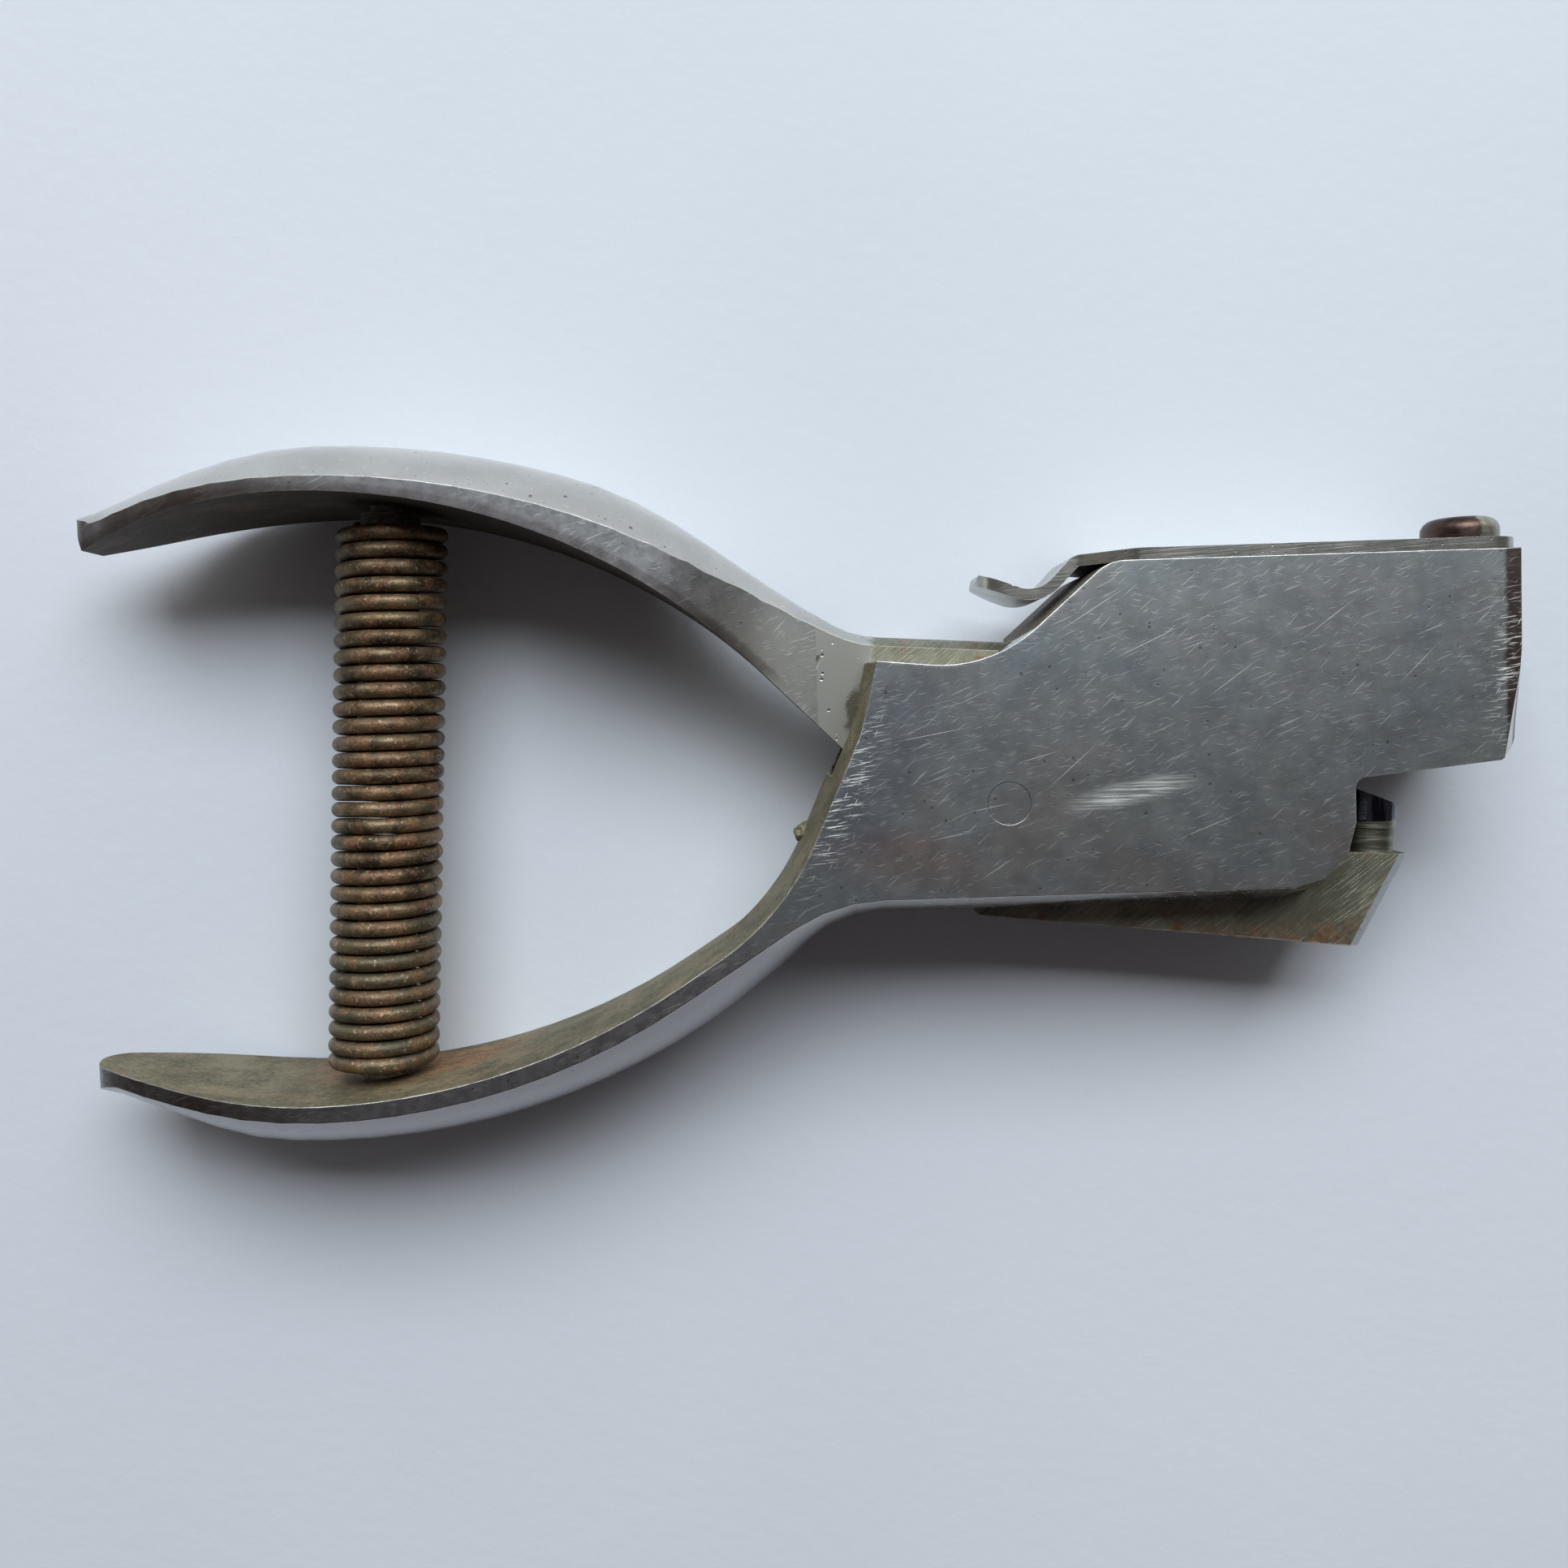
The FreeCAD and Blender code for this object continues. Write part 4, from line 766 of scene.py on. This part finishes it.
def make_filed_steel():
    material, tree, shader, where = start_finish("filed_steel", 0.45)
    parts = axes_of(tree, where)
    cloud = noise(tree, where, 170.0, 5.0, 0.65)
    base = mix_colour(tree, remap(tree, cloud, 0.35, 0.65), *BLADE_GREENS)
    grain = grain_lines(tree, where, 36, 3600.0)
    lines = most(
        tree, hairlines(tree, where, 36, 160.0, 6800.0, 0.6),
        hairlines(tree, where, 40, 220.0, 8500.0, 0.6),
    )
    filed = mix_colour(tree, remap(tree, grain, 0.4, 0.66, 0.0, 0.3), base, FILE_MARK)
    filed = mix_colour(tree, product(tree, lines, 0.3), filed, FILE_LINE)
    front = spot(tree, where, JAW_FRONT, (9.0, 1.5, 9.0), 60.0, 0.6)
    bottom = remap(tree, parts["Y"], *BLADE_BOTTOM_Y)
    zone = most(tree, front, bottom, spot(tree, where, JAW_SPOT, (1.6, 1.9, 9.0), 0.0, 0.7))
    rust_noise = noise(tree, where, 520.0, 6.0, 0.68)
    deep = product(tree, zone, remap(tree, rust_noise, 0.36, 0.52))
    rust = use_group(tree, rust_group, Vector=where, Size=420.0, Coverage=0.38)
    rusty = mix_colour(tree, product(tree, rust["Mask"], 0.8), filed, rust["Color"])
    fine = noise(tree, where, 1500.0, 4.0, 0.7)
    brown = mix_colour(tree, remap(tree, fine, 0.36, 0.64), *BLADE_RUSTS)
    rusty = mix_colour(tree, product(tree, deep, 0.85), rusty, brown)
    rag = product(tree, noise(tree, where, 500.0, 4.0), 0.002)
    plated = remap(tree, total(tree, parts["X"], rag), *PLATING_X)
    deposit = product(tree, spot(tree, where, NECK_DEPOSIT, (2.6, 5.5, 9.0), -22.0, 0.9), rust_noise)
    # the neck's plating takes the lighter neck colour, partly a painted reflection
    plate = mix_colour(tree, remap(tree, deposit, 0.2, 0.34, 0.0, 0.8), NECK_PLATE_AND_SHEEN, DEPOSIT_BROWN)
    joined = mix_colour(tree, plated, rusty, plate)
    holes = product(tree, pits(tree, where, 1700.0, 0.3), remap(tree, parts["X"], -0.022, -0.015))
    holes = product(tree, holes, remap(tree, parts["X"], -0.006, -0.011))
    pitted = mix_colour(tree, product(tree, holes, 0.8), joined, (0.06, 0.05, 0.04))
    # bright edges: rubbed wear and painted highlight
    edge = worn_and_highlit_edge(tree, where, 0.25)
    final = mix_colour(tree, product(tree, edge, 0.6), pitted, (0.7, 0.69, 0.64))
    plug(tree, shader, Base_Color=final)
    oxide = maths(tree, "SUBTRACT", most(tree, rust["Mask"], deep), plated)
    plug(tree, shader, Metallic=remap(tree, oxide, 0.0, 1.0, 0.85, 0.1))
    bare = maths(tree, "SUBTRACT", 1.0, plated)
    matte = product(tree, remap(tree, grain, 0.3, 0.7, 0.2, 0.04), bare)
    plug(tree, shader, Roughness=total(tree, matte, 0.36))
    dent = spot(tree, where, NECK_DENT, (1.35, 0.42, 3.0), 58.0, 1.0)
    cut = maths(tree, "SUBTRACT", product(tree, grain, 0.12), product(tree, lines, 0.12))
    height = total(
        tree, product(tree, cut, bare), product(tree, holes, -0.5),
        product(tree, dent, -3.0),
    )
    bump(tree, shader, height, 0.12, 0.8)
    return material


filed_steel = make_filed_steel()
print("finish:", filed_steel.name)

# %% [markdown]
# ## Rusty spring wire
#
# The spring is bare steel wire, gone brown all over, with grey green ends to its
# turns. Its lower turns are painted greyer as a painted highlight, and golden
# specks on it are painted glints. The finish stays half metallic.

# %% Spring wire
SPRING_LEFT = -0.0655
SPRING_LEAN = -0.06          # the spring's left side moves by this share of Y
WIRE_BROWNS = (0.055, 0.038, 0.024), (0.23, 0.168, 0.10)
WIRE_GREY = (0.135, 0.13, 0.09)
WIRE_GLINT = (0.62, 0.50, 0.32)
WIRE_PIT = (0.03, 0.024, 0.018)


def make_spring_finish():
    material, tree, shader, where = start_finish("spring_wire", 0.42)
    parts = axes_of(tree, where)
    cloud = noise(tree, where, 320.0, 6.0, 0.68)
    base = mix_colour(tree, remap(tree, cloud, 0.36, 0.64), *WIRE_BROWNS)
    lean = product(tree, parts["Y"], SPRING_LEAN)
    side = total(tree, parts["X"], lean)
    ends = remap(tree, side, SPRING_LEFT + 0.0025, SPRING_LEFT - 0.0005, 0.0, 0.8)
    # painted highlight: the lower turns are painted greyer
    low_turns_highlight = remap(tree, parts["Y"], -0.004, -0.016, 0.0, 0.55)
    greyed = mix_colour(tree, most(tree, ends, low_turns_highlight), base, WIRE_GREY)
    rust = use_group(tree, rust_group, Vector=where, Size=420.0, Coverage=0.55)
    rusty = mix_colour(tree, product(tree, rust["Mask"], 0.55), greyed, rust["Color"])
    # painted glints: golden specks on the wire
    glint = remap(tree, noise(tree, where, 2600.0, 3.0, 0.6), 0.58, 0.7)
    bright = mix_colour(tree, product(tree, glint, 0.5), rusty, WIRE_GLINT)
    holes = pits(tree, where, 3000.0, 0.3)
    final = mix_colour(tree, product(tree, holes, 0.75), bright, WIRE_PIT)
    plug(tree, shader, Base_Color=final)
    plug(tree, shader, Metallic=remap(tree, rust["Mask"], 0.0, 1.0, 0.7, 0.3))
    plug(tree, shader, Roughness=remap(tree, cloud, 0.3, 0.7, 0.55, 0.38))
    height = maths(tree, "SUBTRACT", noise(tree, where, 1900.0, 5.0, 0.7), product(tree, holes, 0.6))
    bump(tree, shader, height, 0.1, 0.8)
    return material


spring_finish = make_spring_finish()
print("finish:", spring_finish.name)

# %% [markdown]
# ## Small steel pieces
#
# The stems are dull, the die is dark and smooth, and the sheet cover is grey
# steel. They share one recipe: a dark and a light tone in clouds, fine lines at
# one angle, and bright edges. The punch has its own: its hardened tip is blue
# black with upright streaks, and its shank is grey with turned grooves. So has
# the rivet, which is brown, and bare grey on its outer side.

# %% Steel recipes
TIP_SHARE = (0.60, 0.63)               # the punch is hardened above this share of its height
TIP_BLUES = (0.035, 0.04, 0.055), (0.17, 0.19, 0.23)
SHANK_GREYS = (0.17, 0.17, 0.135), (0.38, 0.385, 0.32)
RIVET_BARE_X = (0.0484, 0.0492)
RIVET_BROWNS = (0.04, 0.026, 0.023), (0.10, 0.07, 0.06)
RIVET_GREYS = (0.28, 0.28, 0.23), (0.46, 0.46, 0.40)


def make_steel(name, dark, light, roughness, angle, lined=0.3):
    """Dull or polished steel with fine turning or grinding lines."""
    material, tree, shader, where = start_finish(name, roughness)
    cloud = noise(tree, where, 380.0, 5.0, 0.65)
    base = mix_colour(tree, remap(tree, cloud, 0.35, 0.65), dark, light)
    grain = grain_lines(tree, where, angle, 4200.0)
    ground = mix_colour(tree, remap(tree, grain, 0.5, 0.7, 0.0, lined), base, (0.75, 0.75, 0.72))
    holes = product(tree, pits(tree, where, 2400.0, 0.25), 0.6)
    pitted = mix_colour(tree, holes, ground, (0.07, 0.06, 0.05))
    # bright edges: rubbed wear and painted highlight
    edge = worn_and_highlit_edge(tree, where, 0.13)
    final = mix_colour(tree, product(tree, edge, 0.75), pitted, (0.85, 0.85, 0.83))
    plug(tree, shader, Base_Color=final)
    bump(tree, shader, maths(tree, "SUBTRACT", grain, holes), 0.03, 0.6)
    return material


def make_punch_finish():
    material, tree, shader, where = start_finish("punch_steel", 0.2)
    low, high = (Vector(corner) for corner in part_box("punch"))
    parts = axes_of(tree, where)
    height_in = plug(
        tree, new_tree_node(tree, "ShaderNodeMapRange"), Value=parts["Y"],
        From_Min=low[1], From_Max=high[1],
    ).outputs["Result"]
    tip = remap(tree, height_in, *TIP_SHARE)
    upright = noise(tree, placed(tree, where, stretch=(1, 0.12, 1)), 1500.0, 3.0, 0.6)
    blue = mix_colour(tree, remap(tree, upright, 0.4, 0.62), *TIP_BLUES)
    turned = noise(tree, placed(tree, where, stretch=(0.08, 1, 0.08)), 2600.0, 3.0, 0.6)
    grey = mix_colour(tree, remap(tree, turned, 0.4, 0.6), *SHANK_GREYS)
    spots = use_group(tree, rust_group, Vector=where, Size=700.0, Coverage=0.3)
    grey = mix_colour(tree, product(tree, spots["Mask"], 0.8), grey, spots["Color"])
    # bright edges: rubbed wear and painted highlight
    edge = worn_and_highlit_edge(tree, where, 0.12)
    rubbed_and_highlit = product(tree, edge, 0.6)
    final = mix_colour(tree, rubbed_and_highlit, mix_colour(tree, tip, grey, blue), (0.7, 0.72, 0.75))
    plug(tree, shader, Base_Color=final)
    plug(tree, shader, Roughness=remap(tree, tip, 0.0, 1.0, 0.42, 0.14))
    bump(tree, shader, turned, 0.08, 0.7)
    return material


def make_rivet_finish():
    material, tree, shader, where = start_finish("rivet_steel", 0.35)
    parts = axes_of(tree, where)
    rag = product(tree, noise(tree, where, 600.0, 5.0, 0.65), 0.003)
    bare = remap(tree, total(tree, parts["X"], rag), *RIVET_BARE_X)
    cloud = remap(tree, noise(tree, where, 500.0, 5.0), 0.35, 0.65)
    brown = mix_colour(tree, cloud, *RIVET_BROWNS)
    grey = mix_colour(tree, cloud, *RIVET_GREYS)
    plug(tree, shader, Base_Color=mix_colour(tree, bare, brown, grey))
    bump(tree, shader, noise(tree, where, 1500.0, 4.0), 0.06, 0.6)
    return material


stem_finish = make_steel("stem_steel", (0.07, 0.06, 0.05), (0.2, 0.175, 0.14), 0.5, 3)
die_finish = make_steel("die_steel", (0.12, 0.12, 0.12), (0.3, 0.3, 0.29), 0.3, 20)
cover_finish = make_steel("cover_sheet", (0.36, 0.37, 0.35), (0.50, 0.505, 0.48), 0.3, 3, 0.25)
punch_finish = make_punch_finish()
rivet_finish = make_rivet_finish()
print("finishes:", len(bpy.data.materials))

# %% [markdown]
# ## Turning frame pieces into finished pieces
#
# A piece from the frame is made of loose triangles with knife-sharp edges. The
# real forgings have edges rubbed round. So each one is copied, its triangles
# are merged into whole faces, and a Bevel modifier rounds its sharp edges. The
# faces are sorted by finish first, so that the rounding takes over the finish
# beside it.

# %% Helpers for frame pieces
SHARP = 28.0                 # an edge that turns by more than this many degrees
SAME_POINT = 0.002 * MM
NO_LENGTH = 0.001 * MM
SAME_PLANE = math.radians(0.3)


def merged_copy(node, name):
    """A copy of a frame piece, with its loose triangles merged into faces."""
    mesh = bpy.data.meshes.new(name)
    shape = bmesh.new()
    shape.from_mesh(nodes[node].data)
    bmesh.ops.remove_doubles(shape, verts=shape.verts, dist=SAME_POINT)
    bmesh.ops.dissolve_degenerate(shape, edges=shape.edges, dist=NO_LENGTH)
    bmesh.ops.dissolve_limit(
        shape, angle_limit=SAME_PLANE, verts=shape.verts, edges=shape.edges,
    )
    shape.to_mesh(mesh)
    shape.free()
    stale = mesh.attributes.get("custom_normal")
    if stale:
        mesh.attributes.remove(stale)
    piece = bpy.data.objects.new(name, mesh)
    bpy.context.scene.collection.objects.link(piece)
    return piece


def dress(piece, body, node, finishes, choose=None, rounding=0.0):
    """Give a piece its body, its finishes, round edges and smooth shading."""
    for finish in finishes:
        piece.data.materials.append(finish)
    if choose:
        for face in piece.data.polygons:
            face.material_index = finishes.index(choose(face))
    piece.data.shade_smooth()
    piece.data.set_sharp_from_angle(angle=math.radians(SHARP))
    if rounding:
        bevel = piece.modifiers.new("round edges", "BEVEL")
        bevel.width = rounding * MM
        bevel.segments = 3
        bevel.limit_method = "ANGLE"
        bevel.angle_limit = math.radians(SHARP)
        bevel.harden_normals = True
    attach(piece, body)
    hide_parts(node)


body_low, body_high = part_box("body_forging")
WIDTH = body_high[2] - body_low[2]
MIDDLE = (body_high[2] + body_low[2]) / 2
print("the tool is", round(WIDTH / MM, 1), "mm wide")

# %% [markdown]
# ## The body
#
# Three finishes meet on this forging: worn flat sides, bright rounded backs, and
# rough skin inside. The direction that a face points in, and its place, say
# which finish it has. The sides of the handle are drawn upright, so only they
# have no slope towards Y. The wall between the handles leans a little, because a
# forging has to come out of its die.

# %% Body forging
FLAT = 0.97                  # a face is flat on the side if it leans less than this cosine
FLAT_DEPTH = 0.2 * MM        # and if it lies this near to the outside
UPRIGHT = 0.03
LEANING = 0.3                # a face leans one way by at least this much
FACING = 0.9                 # and it faces that way by this much
END_FACING = 0.95
SLOT_X = -0.016              # the slot starts here
SLOT_Y = -0.0112
CHAMBER_Y = 0.006
THROAT_Y = 0.004
CROTCH_X = -0.011
HANDLE_X = -0.030
SLOT_HALF = 0.0034
CHAMBER_HALF = 0.0051
CHAMBER_X = (0.0125, 0.0436)
THROAT_X = 0.0315


def body_finish(face):
    x, y, z = face.center
    nx, ny, nz = face.normal
    across = abs(z - MIDDLE)
    if abs(nz) > FLAT and min(z, WIDTH - z) < FLAT_DEPTH:
        return flat_nickel
    in_chamber = y > CHAMBER_Y and CHAMBER_X[0] < x < CHAMBER_X[1]
    if across < CHAMBER_HALF and x > SLOT_X and y > SLOT_Y and (across < SLOT_HALF or in_chamber):
        return forged_skin
    if x < CROTCH_X and abs(ny) < UPRIGHT and abs(nz) > LEANING:
        return flat_nickel
    if x < CROTCH_X and (ny > UPRIGHT or (nx < -LEANING and x > HANDLE_X)):
        return forged_skin
    if nx < -FACING:
        return flat_nickel
    if x > THROAT_X and (ny < -FACING or nx > END_FACING) and y < THROAT_Y:
        return flat_nickel
    return bright_nickel


body_piece = merged_copy("body_forging", "body_shell")
dress(
    body_piece, "body", "body_forging",
    (flat_nickel, bright_nickel, forged_skin), body_finish, rounding=0.22,
)
print("body faces:", len(body_piece.data.polygons))

# %% [markdown]
# ## The lever
#
# The lever is dressed the same way. Its handle matches the body's, and its blade
# past the neck is filed steel.

# %% Lever forging
BLADE_X = -0.0176
JAW_X = 0.033
TIP_FACING = 0.8


def lever_finish(face):
    x, y, z = face.center
    nx, ny, nz = face.normal
    if x > BLADE_X:
        return flat_nickel if x > JAW_X and nx > LEANING else filed_steel
    if abs(nz) > FLAT or abs(ny) < UPRIGHT or nx < -TIP_FACING:
        return flat_nickel
    if ny < 0 and abs(nz) < UPRIGHT:
        return forged_skin
    return bright_nickel


lever_piece = merged_copy("lever_forging", "lever_shell")
dress(
    lever_piece, "lever", "lever_forging",
    (filed_steel, flat_nickel, bright_nickel, forged_skin), lever_finish, rounding=0.22,
)
print("lever faces:", len(lever_piece.data.polygons))

# %% [markdown]
# ## The spring, the cover and the small pieces
#
# The spring has to shorten when the handles close, but here it is not blended:
# it stays one piece, turned about its own axis. The cover and its rivet get round
# edges. The pieces that hardly show keep their frame shape and only take a finish.

# %% Spring, cover and small pieces
SPRING_TOP = (-0.0593, 0.0282)     # middles of the end turns, in X and Y
SPRING_BOTTOM = (-0.0624, -0.0247)
SPRING_TWIST = 150.0               # brings the wire's ends round to the back
low_seat, high_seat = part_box("spring")
spring_middle = (low_seat[2] + high_seat[2]) / 2
spring_piece = merged_copy("spring", "coil_spring")
spring_top = Vector((SPRING_TOP[0], SPRING_TOP[1], spring_middle))
spring_foot = Vector((SPRING_BOTTOM[0], SPRING_BOTTOM[1], spring_middle))
twist = Matrix.Rotation(math.radians(SPRING_TWIST), 4, spring_top - spring_foot)
to_foot = Matrix.Translation(spring_foot)
spring_piece.data.transform(to_foot @ twist @ to_foot.inverted())
spring_piece.data.materials.append(spring_finish)
spring_piece.data.shade_smooth()
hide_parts("spring")
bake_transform(spring_piece)

cover_piece = merged_copy("chip_cover", "cover_plate")
dress(cover_piece, "cover", "chip_cover", (cover_finish,), rounding=0.18)
rivet_piece = merged_copy("cover_rivet", "rivet_head")
dress(rivet_piece, "body", "cover_rivet", (rivet_finish,), rounding=0.2)

for node, finish in (
    ("pivot_pin", flat_nickel), ("die", die_finish), ("punch", punch_finish),
    ("lower_spring_stem", stem_finish), ("upper_spring_stem", stem_finish),
):
    nodes[node].data.materials.clear()
    nodes[node].data.materials.append(finish)
print("spring faces:", len(spring_piece.data.polygons))

# %% [markdown]
# ## The lump on the crotch wall
#
# A lump of flash was left on the wall between the handles when the forging was
# trimmed. It is a ball, squashed and made uneven by moving its points in and out.

# %% Lump of flash
LUMP_PLACE = Vector((-19.0, -2.9, 10.0)) * MM
LUMP_SIZE = Vector((1.15, 0.95, 1.5)) * MM
LUMP_UNEVEN = 0.28
LUMP_WAVES = 1.7

lump_mesh = bpy.data.meshes.new("flash_lump")
lump_shape = bmesh.new()
bmesh.ops.create_icosphere(lump_shape, subdivisions=4, radius=1.0)
for vert in lump_shape.verts:
    vert.co *= 1 + LUMP_UNEVEN * space_noise.noise(vert.co * LUMP_WAVES)
bmesh.ops.scale(lump_shape, verts=lump_shape.verts, vec=LUMP_SIZE)
bmesh.ops.translate(lump_shape, verts=lump_shape.verts, vec=LUMP_PLACE)
lump_shape.to_mesh(lump_mesh)
lump_shape.free()
lump_piece = bpy.data.objects.new("flash_lump", lump_mesh)
bpy.context.scene.collection.objects.link(lump_piece)
lump_mesh.materials.append(forged_skin)
lump_mesh.shade_smooth()
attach(lump_piece, "body")
print("lump points:", len(lump_mesh.vertices))

# %% [markdown]
# ## Paper and light
#
# The tool lies on bluish white paper near a window. One large soft light from
# the far side, above the top of the picture, gives the soft shadow. The room
# behind the camera is darker, and the flat metal mirrors that. The world is
# bright only towards the window.

# %% Floor
PAPER_BLUES = (0.655, 0.71, 0.80), (0.69, 0.74, 0.825)
FLOOR_HALF = 1.5
FLOOR_GAP = 0.05 * MM        # under the tool


def make_paper():
    material, tree, shader, where = start_finish("paper", 0.85, metallic=0.0)
    cloud = noise(tree, where, 9.0, 3.0)
    plug(tree, shader, Base_Color=mix_colour(tree, remap(tree, cloud, 0.3, 0.7), *PAPER_BLUES))
    bump(tree, shader, noise(tree, where, 500.0, 5.0), 0.1, 0.5)
    return material


floor_mesh = bpy.data.meshes.new("floor")
floor_shape = bmesh.new()
bmesh.ops.create_grid(floor_shape, x_segments=1, y_segments=1, size=FLOOR_HALF)
bmesh.ops.translate(floor_shape, verts=floor_shape.verts, vec=(0, 0, body_low[2] - FLOOR_GAP))
floor_shape.to_mesh(floor_mesh)
floor_shape.free()
floor = bpy.data.objects.new("floor", floor_mesh)
floor_mesh.materials.append(make_paper())
bpy.context.scene.collection.objects.link(floor)

# %% Lights
WINDOW_PLACE = (0.05, 0.6, 0.72)
WINDOW_SIZE = (1.0, 0.5)
WINDOW_POWER = 10.2
WINDOW_COLOUR = (0.94, 0.985, 1.0)
DARK_WALL = (0.06, 0.052, 0.05)
WINDOW_WALL = (0.80, 0.77, 0.69)
CEILING = (0.070, 0.058, 0.058)


def soft_light(name, place, aim, size, power, colour):
    data = bpy.data.lights.new(name, "AREA")
    data.shape = "RECTANGLE"
    data.size, data.size_y = size
    data.energy = power
    data.color = colour
    light = bpy.data.objects.new(name, data)
    direction = Vector(aim) - Vector(place)
    light.rotation_euler = direction.to_track_quat("-Z", "Y").to_euler()
    light.location = place
    bpy.context.scene.collection.objects.link(light)


soft_light("window", WINDOW_PLACE, (0, 0, 0), WINDOW_SIZE, WINDOW_POWER, WINDOW_COLOUR)

world = bpy.data.worlds.new("studio")
bpy.context.scene.world = world
world.use_nodes = True
sky = world.node_tree
background = sky.nodes["Background"]
facing = new_tree_node(sky, "ShaderNodeTexCoord").outputs["Generated"]
axes = axes_of(sky, facing)
height = remap(sky, axes["Z"], 0.45, 0.9)
window_side = remap(sky, axes["Y"], -0.1, 0.8)
round_wall = mix_colour(sky, window_side, DARK_WALL, WINDOW_WALL)
dome = mix_colour(sky, height, round_wall, CEILING)
plug(sky, background, Color=dome, Strength=1.0)
